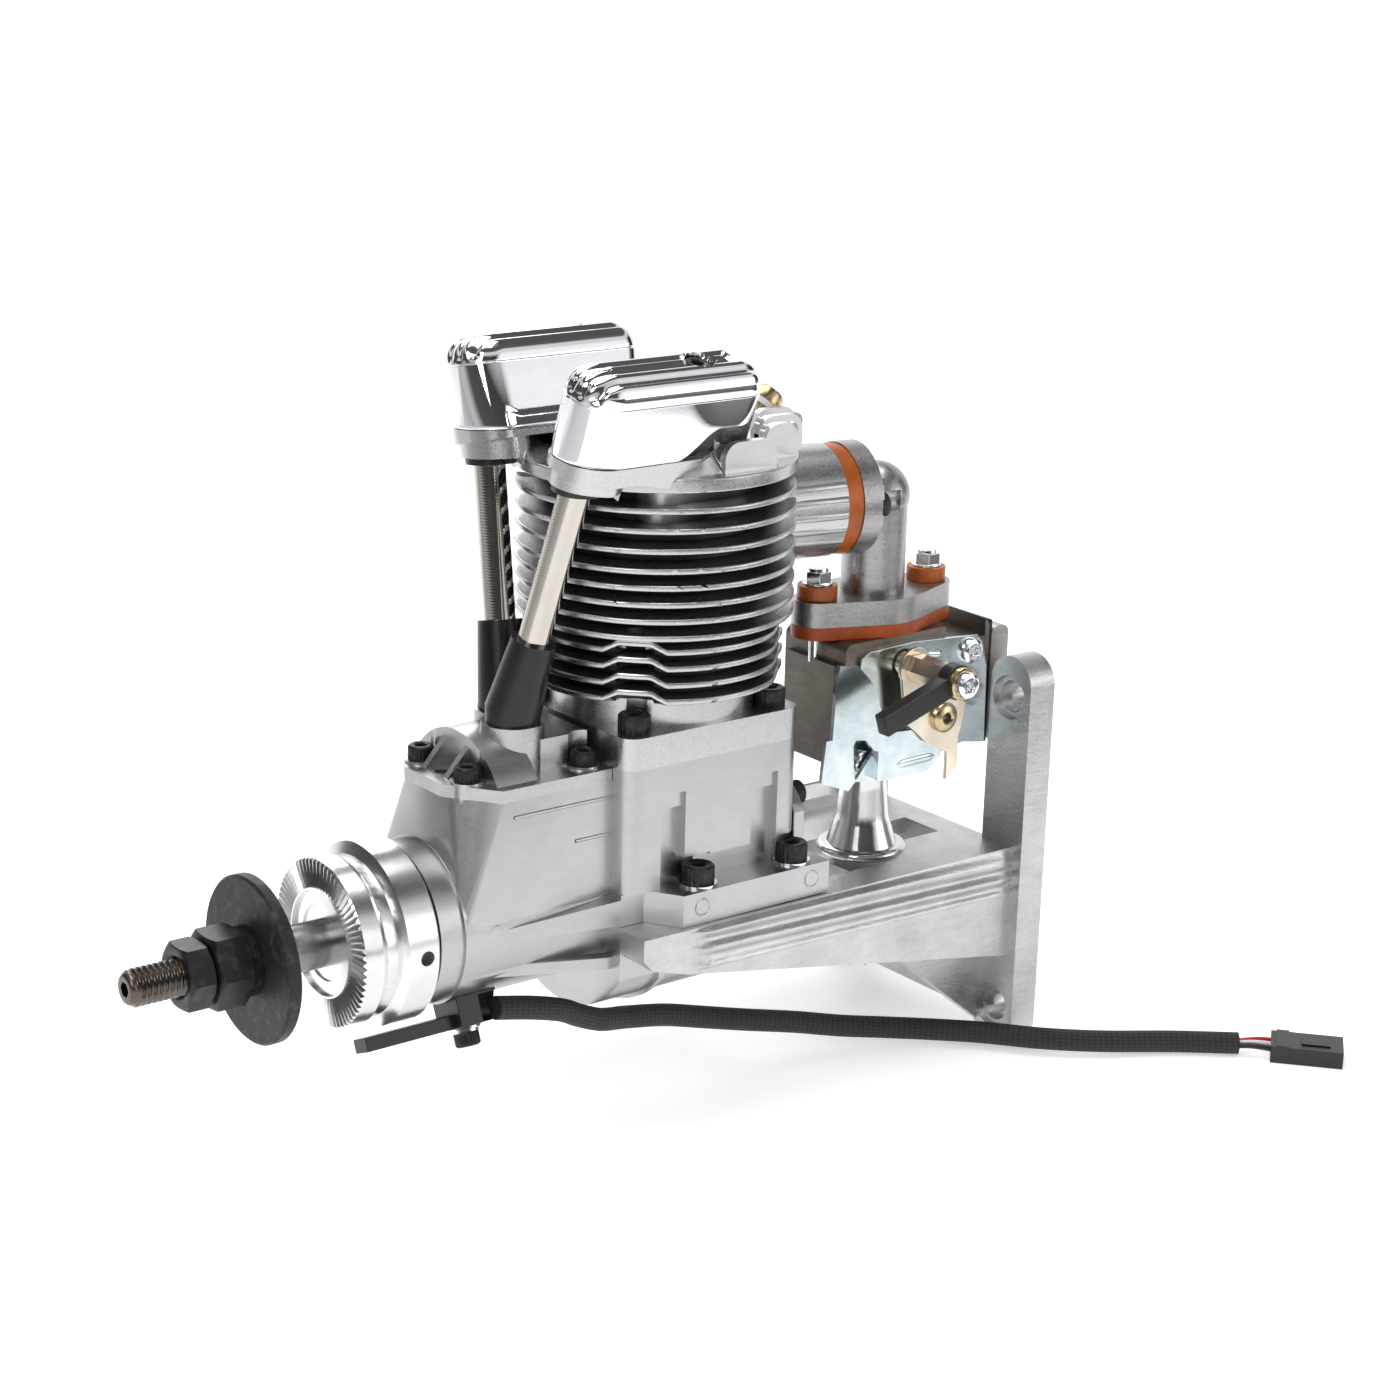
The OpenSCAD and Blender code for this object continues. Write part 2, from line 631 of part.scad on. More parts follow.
module lobe2d() {
    circle(cam_base_r);
    translate([cam_nose + 1.6, 0]) circle(cam_base_r - 1.6);
    polygon([[0, -cam_base_r + 0.1], [cam_nose + 1.6, -cam_base_r + 1.7],
        [cam_nose + 1.6, cam_base_r - 1.7], [0, cam_base_r - 0.1]]);
}

module camshaft() color("dimgray") from_firewall() translate([0, 0, cam_z]) along_x() {
    translate([0, 0, gear_front - 4]) cylinder(r = cam_shaft_r, h = 3.7 - gear_front - block_front);
    translate([0, 0, gear_front]) rotate([0, 0, 180 / (2 * crank_teeth)])
        linear_extrude(gear_w - eps) gear2d(2 * crank_teeth);
    for (i = [0, 1]) translate([0, 0, tappet_x[i] - lobe_w / 2]) rotate([0, 0, 60 + 105 * i])
        linear_extrude(lobe_w) lobe2d();
}

module piston() color([0.7, 0.7, 0.72]) from_firewall() translate([0, 0, pin_rest]) difference() {
    translate([0, 0, -piston_skirt]) cylinder(r = piston_r, h = piston_skirt + piston_crown);
    translate([0, 0, -piston_skirt - 1]) cylinder(r = piston_r - 2.6, h = piston_skirt + 8);
    translate([0, 30, 0]) along_near() cylinder(r = wrist_pin_d / 2, h = 60);
    for (side = [-1, 1]) translate([0, 0, -pin_rest - stroke]) leaning(side)
        translate([valve_x, 0, valve_face - valve_lift - 0.4]) cylinder(r = valve_r + 0.5, h = 30);
    for (z = [6, 8.6]) translate([0, 0, z]) difference() {
        cylinder(r = piston_r + 1, h = 1);
        cylinder(r = piston_r - 1.2, h = 1);
    }
}

module rod_pins() color("silver") from_firewall() {
    translate([0, 0, pin_rest]) rotate([90, 0, 0]) translate([0, 0, -piston_r + 1]) difference() {
        cylinder(r = wrist_pin_d / 2 - 0.01, h = 2 * piston_r - 2);
        translate([0, 0, -1]) cylinder(r = wrist_pin_d / 2 - 1.6, h = 60);
    }
    translate([web_front + web_t + 0.1, 0, -crank_r]) along_x() cylinder(r = crankpin_d / 2, h = 8.4);
}

module connecting_rod() color([0.72, 0.72, 0.74]) from_firewall() {
    eye = wrist_pin_d / 2 + 2.6;
    big = crankpin_d / 2 + 3.2;
    difference() {
        union() {
            translate([0, 3.5, pin_rest]) along_near() cylinder(r = eye, h = 7);
            translate([-3.5, 0, -crank_r]) along_x() cylinder(r = big, h = 7);
            translate([-2, -3.4, -crank_r + big - 1.5]) cube([4, 6.8, rod_len - eye - big + 3]);
        }
        translate([0, 5, pin_rest]) along_near() cylinder(r = wrist_pin_d / 2 + 0.02, h = 10);
        translate([-5, 0, -crank_r]) along_x() cylinder(r = crankpin_d / 2 + 0.02, h = 10);
    }
}

module fin_disc(z, r, t) translate([0, 0, z]) cylinder(r = r, h = t, $fn = 96);

module rocker_box(side) leaning(side) difference() {
    union() {
        translate([0, 0, box_floor]) linear_extrude(box_seam - box_floor)
            slot2d(-box_front, box_rear, box_half, 7.5);
        translate([0, 0, 50]) linear_extrude(box_floor - 50 + 1) slot2d(-17, box_rear - 2, box_half - 1, 6);
        translate([rocker_end - 0.6, 0, 55.4]) cylinder(r = box_half - 0.2, h = 6);
    }
}

module rocker_box_cuts(side) leaning(side) {
    translate([0, 0, box_floor + 1.4]) linear_extrude(8)
        slot2d(-box_front + 2.4, box_rear - 2.4, box_half - 2.4, 5);
    translate([rocker_end, 0, 50]) cylinder(r = 3.4, h = 20);
    translate([valve_x, 0, spring_seat]) cylinder(r = 4.6, h = 20);
    translate([valve_x, 0, 30]) cylinder(r = stem_d / 2 + run_gap, h = 40);
    translate([valve_x, 0, valve_face - valve_lift - 1.2]) cylinder(r = valve_r + 0.3, h = valve_lift + 3.4);
    translate([valve_x, 0, valve_face + 1]) cylinder(r = port_bore_r - 1.2, h = 7);
}

module rocker_posts(side) leaning(side) difference() {
    union() {
        for (y = [-6.2, 4.6]) translate([rocker_x - 3.6, y, box_floor + 1])
            cube([7.2, 1.6, rocker_axis - box_floor + 2]);
        translate([cover_screw_x, 0, box_floor + 1]) cylinder(r = 1.9, h = 13.4);
    }
    translate([rocker_x, 10, rocker_axis]) along_near() cylinder(r = shaft_r + 0.01, h = 20);
    translate([cover_screw_x, 0, box_floor + 4]) cylinder(r = m3_r - 0.3, h = 20);
}

module head_plate_fin(y, x1, x2, top) translate([x1, y - 0.8, head_top - 1])
    rounded_box([x2 - x1, 1.6, top - head_top + 1], 1.8);

module cylinder_body() {
    translate([0, 0, liner_low]) cylinder(r = liner_r, h = cyl_base - liner_low + 1);
    translate([-cyl_half, 0, cyl_base]) linear_extrude(cyl_flange_t)
        slot2d(0, 2 * cyl_half, cyl_half, 4);
    translate([0, 0, cyl_base]) cylinder(r = barrel_r, h = head_top - cyl_base - 1);
    for (i = [0:fin_count - 1])
        fin_disc(fin_z0 + i * fin_pitch, i < 4 ? fin_r_low : fin_r_up, fin_t);
    for (i = [1:3]) fin_disc(fin_z_top + i * upper_pitch, fin_r_up, fin_t);
    fin_disc(head_top - 3, fin_r_up, 3);
    port_frame() along_x() {
        translate([0, 0, 12]) cylinder(r = port_r, h = port_len - 12);
    }
    rotate([0, 0, 60]) translate([0, 0, port_z]) along_x() cylinder(r = 10.5, h = 35);
    for (side = [-1, 1]) rocker_box(side);
    for (f = [[-26, -3, 11.5], [-19.5, 13, 22], [-12.5, 17, 29], [-5.5, 21, 33]])
        head_plate_fin(f[0], f[1], f[2], head_top + 7.4);
    for (f = [[26, -3, 11.5], [19.5, 13, 22]]) head_plate_fin(f[0], f[1], f[2], head_top + 7.4);
}

plug_lean = 42;
plug_seat = 21;
module plug_frame() translate([6, 0, roof_z]) rotate([0, plug_lean, 0]) children();

module cylinder_node() color([0.8, 0.8, 0.82]) from_firewall() {
    cylinder_casting();
    for (side = [-1, 1]) rocker_posts(side);
}

module cylinder_casting() difference() {
    cylinder_body();
    translate([0, 0, liner_low - 1]) cylinder(r = bore_d / 2, h = roof_z - liner_low + 1);
    for (side = [-1, 1]) rocker_box_cuts(side);
    port_frame() along_x() {
        translate([0, 0, port_deep]) cylinder(r = port_bore_r, h = port_len);
        for (a = [30, 150, 270]) rotate([0, 0, a]) translate([port_bolt_r, 0, port_len - 8])
            cylinder(r = m3_r, h = 9);
    }
    rotate([0, 0, 60]) translate([0, 0, port_z]) along_x() translate([0, 0, port_deep])
        cylinder(r = port_bore_r, h = 30);
    for (x = [-cyl_screw, cyl_screw]) for (y = [-cyl_screw, cyl_screw])
        translate([x, y, cyl_base - 1]) {
            cylinder(r = m4_r + 0.1, h = 30);
            translate([0, 0, cyl_flange_t + 1]) cylinder(r = m4_head_r + 0.5, h = 18);
        }
    plug_frame() {
        translate([0, 0, -3]) cylinder(r = 5, h = 30);
        translate([0, 0, plug_seat]) cylinder(r = 8.6, h = 40);
    }
}
module cylinder_screws() color([0.1, 0.1, 0.11]) from_firewall()
    for (x = [-cyl_screw, cyl_screw]) for (y = [-cyl_screw, cyl_screw])
        translate([x, y, cyl_base + cyl_flange_t]) cap_screw(m4_r, m4_head_r, cyl_flange_t + 8, 4);

module spark_plug() color("white") from_firewall() plug_frame() {
    translate([0, 0, 3]) cylinder(r = 4.9, h = plug_seat - 3 + eps);
    translate([0, 0, plug_seat]) cylinder(r = 8, h = 3);
    translate([0, 0, plug_seat + 3 - eps]) cylinder(r = 7 / cos(30), h = 5, $fn = 6);
    translate([0, 0, plug_seat + 8 - 2 * eps]) cylinder(r = 3.6, h = 5);
}

module cover_slice(z, inset, x_in) translate([0, 0, z]) linear_extrude(0.1)
    slot2d(-box_front + x_in, box_rear - x_in, box_half - inset, 6.6 - inset * 0.3);

module rocker_cover(side) {
    ridge = 1.1;
    leaning(side) difference() {
        union() {
            hull() {
                cover_slice(box_seam + 0.1, 0.1, 0.2);
                cover_slice(box_seam + cover_h - 4.6, 1.4, 1.2);
                cover_slice(box_seam + cover_h - 1.6, 3.4, 3.2);
            }
            for (i = [-2:2]) hull() for (x = [-box_front + 6.4, box_rear - 6])
                translate([x, i * 2.5, box_seam + cover_h - 1.8]) sphere(r = ridge, $fn = 12);
        }
        hull() {
            cover_slice(box_seam - 1, cover_wall + 0.1, cover_wall + 0.2);
            cover_slice(box_seam + cover_h - 6, cover_wall + 1.4, cover_wall + 1.4);
            cover_slice(box_seam + cover_h - 4, cover_wall + 3, cover_wall + 3.4);
        }
        translate([-5, side > 0 ? notch_y : -notch_y - 10, box_seam - 1]) cube([20, 10, 9.6]);
        translate([cover_screw_x, 0, box_seam + cover_h - 2.4]) cylinder(r = m3_head_r + 0.8, h = 5, $fn = 24);
        translate([cover_screw_x, 0, box_seam]) cylinder(r = m3_r + 0.2, h = 30, $fn = 24);
    }
    leaning(side) translate([-5 - cover_wall, side > 0 ? notch_y - cover_wall : -notch_y, box_seam + 0.1])
        cube([box_rear + 3.6, cover_wall, 9]);
}
module intake_rocker_cover() color("gainsboro") from_firewall() rocker_cover(-1);
module exhaust_rocker_cover() color("gainsboro") from_firewall() rocker_cover(1);

module rocker_cover_screws() color([0.1, 0.1, 0.11]) from_firewall()
    for (side = [-1, 1]) leaning(side)
        translate([cover_screw_x, 0, box_seam + cover_h - 2.4])
            cap_screw(m3_r - 0.3, m3_head_r, 14, 2.4);

module rocker_shafts() color("silver") from_firewall()
    for (side = [-1, 1]) leaning(side)
        translate([rocker_x, 6.4, rocker_axis]) along_near() cylinder(r = shaft_r, h = 12.8);

module rocker(side) leaning(side) difference() {
    half = 4.2;
    union() {
        translate([rocker_x, half, rocker_axis]) along_near() cylinder(r = shaft_r + 2, h = 2 * half);
        for (y = [-half, half - 1.8]) translate([rocker_end - 2, y, rocker_axis - 1.7])
            cube([valve_x - rocker_end + 4.4, 1.8, 3.4]);
        for (x = [rocker_end, valve_x]) translate([x, half, rocker_axis + 0.5])
            along_near() cylinder(r = 2.4, h = 2 * half);
    }
    translate([rocker_x, 10, rocker_axis]) along_near() cylinder(r = shaft_r + run_gap, h = 20);
}
module intake_rocker() color("dimgray") from_firewall() rocker(-1);
module exhaust_rocker() color("dimgray") from_firewall() rocker(1);

module valve(side) leaning(side) translate([valve_x, 0, 0]) rotate_extrude() polygon([
    [0, valve_face], [valve_r, valve_face], [valve_r, valve_face + 0.8],
    [stem_d / 2, valve_face + 4], [stem_d / 2, stem_top - 3.4], [4.6, stem_top - 3.4],
    [4.6, stem_top - 2], [stem_d / 2, stem_top - 2], [stem_d / 2, stem_top], [0, stem_top]]);
module intake_valve() color("silver") from_firewall() valve(-1);
module exhaust_valve() color("silver") from_firewall() valve(1);

module valve_spring(side) leaning(side) translate([valve_x, 0, spring_seat]) {
    wall = 0.3;
    coil = 0.5;
    mid_r = 3.5;
    coils = 7;
    len = stem_top - 3.4 - spring_seat;
    step = len / coils;
    rotate_extrude() union() {
        translate([mid_r - wall / 2, 0]) square([wall, len]);
        for (i = [0:coils - 1]) translate([mid_r - coil, i * step]) square([2 * coil, step * 0.6]);
    }
}
module intake_valve_spring() color("gray") from_firewall() valve_spring(-1);
module exhaust_valve_spring() color("gray") from_firewall() valve_spring(1);

function rod_low(i) = [tappet_x[i], (2 * i - 1) * tappet_y, tappet_top];
// the rod passes the middle of the box's front boss and ends under the rocker
rod_aim = 61;
function along_lean(p, side) = side * p.y * sin(lean) + (p.z - lean_z) * cos(lean);
function lean_point(i, d) = [rocker_end, (2 * i - 1) * d * sin(lean), lean_z + d * cos(lean)];
function rod_high(i) = let(low = rod_low(i), d0 = along_lean(low, 2 * i - 1),
    t = (rocker_axis - 2 - d0) / (rod_aim - d0)) low + t * (lean_point(i, rod_aim) - low);
module rod_frame(i) {
    v = rod_high(i) - rod_low(i);
    translate(rod_low(i)) rotate([0, acos(v.z / norm(v)), atan2(v.y, v.x)]) children();
}
function rod_span(i) = norm(rod_high(i) - rod_low(i));

module pushrod(i) {
    translate([tappet_x[i], (2 * i - 1) * tappet_y, tappet_low])
        cylinder(r = tappet_d / 2, h = tappet_top - tappet_low);
    rod_frame(i) rotate([0, 0, 40]) translate([0, 0, -4]) cylinder(r = pushrod_d / 2, h = rod_span(i) + 3.6);
}
module intake_pushrod() color("silver") from_firewall() pushrod(0);
module exhaust_pushrod() color("silver") from_firewall() pushrod(1);

boot_span = 17;
function tube_end(i) = rod_span(i) - (rocker_axis - 2 - 54.5);
module pushrod_tubes() color("gainsboro") from_firewall()
    for (i = [0, 1]) rod_frame(i) translate([0, 0, boot_span - 6]) difference() {
        cylinder(r = tube_d / 2, h = tube_end(i) - boot_span + 6);
        translate([0, 0, -1]) cylinder(r = tube_d / 2 - 0.5, h = 80);
    }

module tube_seals() color([0.08, 0.08, 0.08]) from_firewall()
    for (i = [0, 1]) difference() {
        leaning(2 * i - 1) translate([rocker_end, 0, 54]) cylinder(r = tube_d / 2 + 2.2, h = 1.4);
        rod_frame(i) cylinder(r = tube_d / 2, h = 80);
        cylinder(r = fin_r_up + 0.1, h = head_top);
    }

module rubber_boots() color([0.06, 0.06, 0.06]) from_firewall() for (i = [0, 1]) difference() {
    union() {
        hull() {
            translate([tappet_x[i], (2 * i - 1) * tappet_y, boss_top]) cylinder(r = boss_r - 0.9, h = 3.5, $fn = 28);
            rod_frame(i) translate([0, 0, 7]) cylinder(r = tube_d / 2 + 1.4, h = boot_span - 7, $fn = 28);
        }
    }
    translate([tappet_x[i], (2 * i - 1) * tappet_y, boss_top - 1]) cylinder(r = tappet_d / 2 + 0.3, h = 6.5);
    rod_frame(i) cylinder(r = tube_d / 2, h = 60);
}

module intake_insulator() color([0.85, 0.35, 0.05]) from_firewall() port_frame() along_x()
    translate([0, 0, port_len]) difference() {
        cylinder(r = port_r - 0.3, h = ring_t);
        translate([0, 0, -1]) cylinder(r = port_bore_r, h = ring_t + 2);
        for (a = [30, 150, 270]) rotate([0, 0, a]) translate([port_bolt_r, 0, -1])
            cylinder(r = m3_r + 0.1, h = ring_t + 2);
    }

module oval2d() hull() {
    translate([-stud_space / 2, 0]) circle(5.6, $fn = 40);
    translate([stud_space / 2, 0]) circle(5.6, $fn = 40);
    circle(11.4, $fn = 64);
}

// the pipe's path round its corner, lengthened at both ends by extra
module elbow_path(r, extra) {
    port_frame() along_x() translate([0, 0, ring_back - extra])
        cylinder(r = r, h = carb_dist - ring_back + extra);
    rotate([0, 0, -port_angle]) translate([carb_dist, 0, flange_low - extra])
        cylinder(r = r, h = port_z - flange_low + extra);
    port_frame() translate([carb_dist, 0, 0]) sphere(r = r + 0.35);
}
module intake_elbow() color([0.78, 0.78, 0.8]) from_firewall() difference() {
    union() {
        elbow_path(elbow_r, 0);
        port_frame() along_x() translate([0, 0, ring_back]) cylinder(r = port_r, h = 5);
        translate([carb_x, carb_y, flange_low]) linear_extrude(elbow_flange_t) oval2d();
    }
    elbow_path(elbow_r - 1.8, 1);
    port_frame() along_x() for (a = [30, 150, 270]) rotate([0, 0, a])
        translate([port_bolt_r, 0, ring_back - 1]) {
            cylinder(r = m3_r + 0.1, h = 8);
            translate([0, 0, elbow_back - ring_back + 1]) cylinder(r = m3_head_r + 0.6, h = 8);
        }
    for (x = [-1, 1]) translate([carb_x + x * stud_space / 2, carb_y, flange_low - 1])
        cylinder(r = m3_r + 0.1, h = 30);
}

module elbow_screws() color([0.1, 0.1, 0.11]) from_firewall() port_frame() along_x()
    for (a = [30, 150, 270]) rotate([0, 0, a]) translate([port_bolt_r, 0, elbow_back])
        cap_screw(m3_r, m3_head_r, 5 + ring_t + 6, 2.6);

module carb_insulator() color([0.75, 0.27, 0.04]) from_firewall()
    translate([carb_x, carb_y, carb_high]) difference() {
        linear_extrude(gasket_t) oval2d();
        translate([0, 0, -1]) cylinder(r = venturi_r, h = 10);
        for (x = [-1, 1]) translate([x * stud_space / 2, 0, -1]) cylinder(r = m3_r + 0.1, h = 10);
    }

module stud_bushes() color([0.85, 0.35, 0.05]) from_firewall() for (x = [-1, 1])
    translate([carb_x + x * stud_space / 2, carb_y, flange_top]) difference() {
        cylinder(r = 4.5, h = bush_t);
        translate([0, 0, -1]) cylinder(r = m3_r + 0.1, h = 10);
    }

module carb_studs() color("silver") from_firewall() for (x = [-1, 1])
    translate([carb_x + x * stud_space / 2, carb_y, 0]) {
        nut_low = flange_top + bush_t;
        translate([0, 0, carb_high - 6]) cylinder(r = m3_r, h = nut_low + 3.6 - carb_high + 6);
        translate([0, 0, nut_low]) cylinder(r = 3.4, h = 0.5);
        translate([0, 0, nut_low + 0.5 - eps]) cylinder(r = 2.75 / cos(30), h = 2.6, $fn = 6);
        translate([0, 0, nut_low + 3.1 - 2 * eps]) cylinder(r = 2.3, h = 0.7);
    }

module carb_body() color([0.42, 0.38, 0.35]) from_firewall() difference() {
    union() {
        translate([carb_front, near_face, carb_low]) rounded_box([carb_rear - carb_front,
            2 * carb_half, carb_high - carb_low], 2);
        translate([carb_front - 1.6, near_face + 2, carb_low + 3])
            cube([2, 2 * carb_half - 4, carb_high - carb_low - 8]);
    }
    translate([carb_x, carb_y, carb_low - 1]) cylinder(r = venturi_r, h = 60);
    translate([carb_x + 13.5, near_face - 1, carb_high - 4]) cube([12.4, 2 * carb_half + 2, 8]);
    translate([carb_x + 13.5, near_face - 1, carb_low - 2]) cube([12.4, 2 * carb_half + 2, 5]);
    for (x = [-1, 1]) translate([carb_x + x * stud_space / 2, carb_y, carb_high - 6])
        cylinder(r = m3_r, h = 10);
    translate([carb_x, carb_y + carb_half - 3, throttle_z]) along_near() cylinder(r = 2, h = 60);
    translate([carb_x, carb_y + carb_half - 3, choke_z]) along_near() cylinder(r = 2, h = 60);
    for (p = bracket_points()) translate([p.x, near_face + 5, p.y]) along_near()
        cylinder(r = 1.4, h = 10);
}
function bracket_points() = [[carb_x + 20.4, throttle_z - 0.2], [carb_x - 10.9, choke_z - 2.6]];

module pump_gasket() color([0.05, 0.05, 0.05]) from_firewall()
    translate([carb_rear, near_face, carb_low]) cube([pump_gasket_t, 2 * carb_half,
        carb_high - carb_low - 0.4]);
module pump_cover() color([0.6, 0.58, 0.55]) from_firewall()
    translate([carb_rear + pump_gasket_t, near_face, carb_low])
        rounded_box([pump_t, 2 * carb_half, carb_high - carb_low - 2.2], 2);

module linkage_bracket() color([0.72, 0.76, 0.78]) from_firewall() difference() {
    translate([0, near_face, 0]) along_near() linear_extrude(bracket_t) difference() {
        polygon([[carb_x - 14.9, choke_z - 5.6], [carb_x - 14.9, choke_z + 1],
            [carb_x - 12.3, throttle_z + 2.6], [carb_x - 9.8, throttle_z + 3.9],
            [carb_x + 3, throttle_z + 4.4], [carb_x + 22.6, throttle_z + 3.2],
            [carb_x + 24.4, throttle_z + 1.1], [carb_x + 26, throttle_z - 4.6],
            [carb_x + 26.5, choke_z - 4.2], [carb_x + 19.6, choke_z - 3],
            [carb_x + 8, choke_z - 5.4], [carb_x - 5, choke_z - 6.4]]);
        translate([carb_x, throttle_z]) circle(3.2);
        translate([carb_x, choke_z]) circle(3.2);
        for (p = bracket_points()) translate(p) circle(1.6);
    }
}

module bracket_screws() color("silver") from_firewall() for (p = bracket_points())
    translate([p.x, near_face - bracket_t, p.y]) along_near() difference() {
        union() {
            cylinder(r = 3, h = 1.6);
            translate([0, 0, -5]) cylinder(r = 1.4, h = 5 + eps);
        }
        for (a = [0, 90]) rotate([0, 0, a]) translate([-1.4, -0.3, 0.8]) cube([2.8, 0.6, 2]);
    }

module throttle_frame() translate([carb_x, near_face, throttle_z]) along_near() children();
module choke_frame() translate([carb_x, near_face, choke_z]) along_near() children();

module throttle_shaft() color("silver") from_firewall() throttle_frame() {
    translate([0, 0, -carb_half - 6]) cylinder(r = 2 - run_gap, h = carb_half + 6 + 1.5);
    translate([0, 0, -carb_half]) along_near() translate([0, 0, -0.5])
        cylinder(r = venturi_r - 0.2, h = 1);
    translate([0, 0, arm_depth + 3.4]) difference() {
        cylinder(r = 2.8, h = 2);
        for (a = [0, 90]) rotate([0, 0, a]) translate([-1.4, -0.3, 1]) cube([2.8, 0.6, 2]);
    }
}

module throttle_spacer() color([0.7, 0.66, 0.58]) from_firewall() throttle_frame() {
    translate([0, 0, 1.5]) cylinder(r = 2.8, h = 3.1);
    translate([0, 0, 4.6 - eps]) cylinder(r = 3 / cos(30), h = arm_depth - 4.6, $fn = 6);
    translate([0, 0, arm_depth - 2 * eps]) cylinder(r = 1.6, h = 3.4);
}

module throttle_lever() color([0.82, 0.76, 0.66]) from_firewall() throttle_frame()
    translate([0, 0, 4.6]) linear_extrude(1) difference() {
        union() {
            circle(4.6);
            polygon([[-4, -2], [-2.3, -12.9], [0.8, -15], [4.1, -18.2], [9, -20.6],
                [10.6, -21.8], [10.6, -28.2], [14, -25.5], [13.9, -18.7], [14.9, -15.2],
                [15.7, -11.1], [13, -4], [4, 2]]);
        }
        circle(3 / cos(30), $fn = 6);
        translate([8.7, -12.9]) circle(1.2);
    }

module throttle_arm() color([0.05, 0.05, 0.05]) from_firewall() throttle_frame()
    translate([0, 0, arm_depth]) linear_extrude(3.4) difference() {
        union() {
            circle(4);
            rotate(-162) translate([0, -2.4]) square([22, 4.8]);
        }
        circle(1.62);
    }

module choke_shaft() color("silver") from_firewall() choke_frame() {
    translate([0, 0, -carb_half - 6]) cylinder(r = 2 - run_gap, h = carb_half + 6 + 1.5);
    translate([0, 0, -carb_half]) along_near() translate([0, 0, -0.5])
        cylinder(r = venturi_r - 0.2, h = 1);
}

module choke_lever() color([0.72, 0.76, 0.78]) from_firewall() choke_frame() {
    translate([0, 0, 1.5]) cylinder(r = 2.6, h = 1.8);
    translate([0, 0, 3.2]) linear_extrude(1)
        polygon([[-15.6, -5.4], [-7.2, 4.5], [2, 3.8], [9.4, -2.3], [9.9, -3.6], [6.6, -6.7],
            [-6.5, -6.7]]);
    translate([-11, -5.2, 4.2 - eps]) cube([1, 8.4, 2.3]);
    translate([0, 0, 6.4]) linear_extrude(1)
        polygon([[-24, 23.5], [-18.8, 22.7], [-14.1, 17.9], [-11.1, 10.3], [-9.4, 1.2],
            [-13.2, 2.4], [-15.7, 5.2], [-18.6, 5.7], [-19.3, 4.4], [-18.7, -2.6],
            [-18.1, -3.8], [-20.2, -5.8], [-28.1, -2.6], [-27.6, 2.5], [-27.1, 6.9],
            [-25.4, 6.8], [-24.9, 16.2], [-25.1, 18]]);
}

module velocity_stack() color("gainsboro") from_firewall() translate([carb_x, carb_y, 0])
    rotate_extrude() polygon(concat(
        [[5.2, carb_low], [5.2, 12], [6, 4], [lip_r - 2.2, stack_low + 2.2]],
        [for (a = [90:-30:-90]) [lip_r - 1.1 + 1.1 * cos(a), stack_low + 1.1 + 1.1 * sin(a)]],
        [[lip_r - 3.4, stack_low + 1.4], [4.8, 4], [4.2, 12], [4.2, carb_low]]));

module arm2d() polygon([[-24, arm_top], [frame_front + 1, arm_top - 0.5], [frame_front + 1, -30],
    [-12, -13], [-21.5, -10.2], [-24, -7.6]]);

module engine_mount() color([0.72, 0.72, 0.73]) from_firewall() difference() {
    union() {
        for (side = [-1, 1]) {
            translate([0, side > 0 ? arm_half : -22, 0]) along_near() linear_extrude(arm_half - 22)
                arm2d();
            translate([0, side > 0 ? 22.2 : -18.6, 0]) along_near() linear_extrude(3.6)
                polygon([[44, -18], [frame_front + 1, -12], [frame_front + 1, -49.5]]);
            translate([46, side > 0 ? 6 : -23, deck_top - 4]) cube([frame_front - 45, 17, 4]);
            translate([frame_front, side > 0 ? window_half : -frame_half, frame_low])
                rounded_upright();
        }
        translate([frame_front, -window_half - 1, frame_low + 4]) cube([frame_t, 2 * window_half + 2, 12]);
        translate([frame_front, -window_half - 1, deck_top - 6]) cube([frame_t, 2 * window_half + 2, 6]);
    }
    for (y = [-1, 1]) for (z = [-1, 1])
        translate([frame_front - 1, y * hole_space_y / 2, hole_mid_z + z * hole_space_z / 2]) along_x() {
            cylinder(r = hole_d / 2, h = frame_t + 2);
            cylinder(r = 5.2, h = 2.2);
            cylinder(r = 3.8, h = 4);
        }
    for (side = [-1, 1]) for (x = [beam_screw_x1, beam_screw_x2])
        translate([x, side * beam_screw_y, arm_top - 10]) cylinder(r = m4_r, h = 12);
}

module rounded_upright() {
    w = frame_half - window_half;
    h = frame_top - frame_low;
    translate([0, 0, 4]) cube([frame_t, w, h - 10]);
    translate([0, 4, 0]) cube([frame_t, w - 8, 10]);
    for (y = [4, w - 4]) translate([0, y, 4]) along_x() cylinder(r = 4, h = frame_t);
    translate([0, w / 2, h - w / 2]) along_x() cylinder(r = w / 2, h = frame_t);
}

module at_mount_screws() for (side = [-1, 1]) for (x = [beam_screw_x1, beam_screw_x2])
    translate([x, side * beam_screw_y, beam_top]) children();

module mount_screws() color([0.1, 0.1, 0.11]) from_firewall() at_mount_screws()
    translate([0, 0, washer_h]) cap_screw(m4_r, m4_head_r, beam_t + 7, 4);

module mount_washers() color("silver") from_firewall() at_mount_screws() difference() {
    cylinder(r = m4_head_r + 0.6, h = washer_h);
    translate([0, 0, -1]) cylinder(r = m4_r + 0.1, h = 3);
}

module sensor_turn() rotate([-sensor_deg, 0, 0]) children();

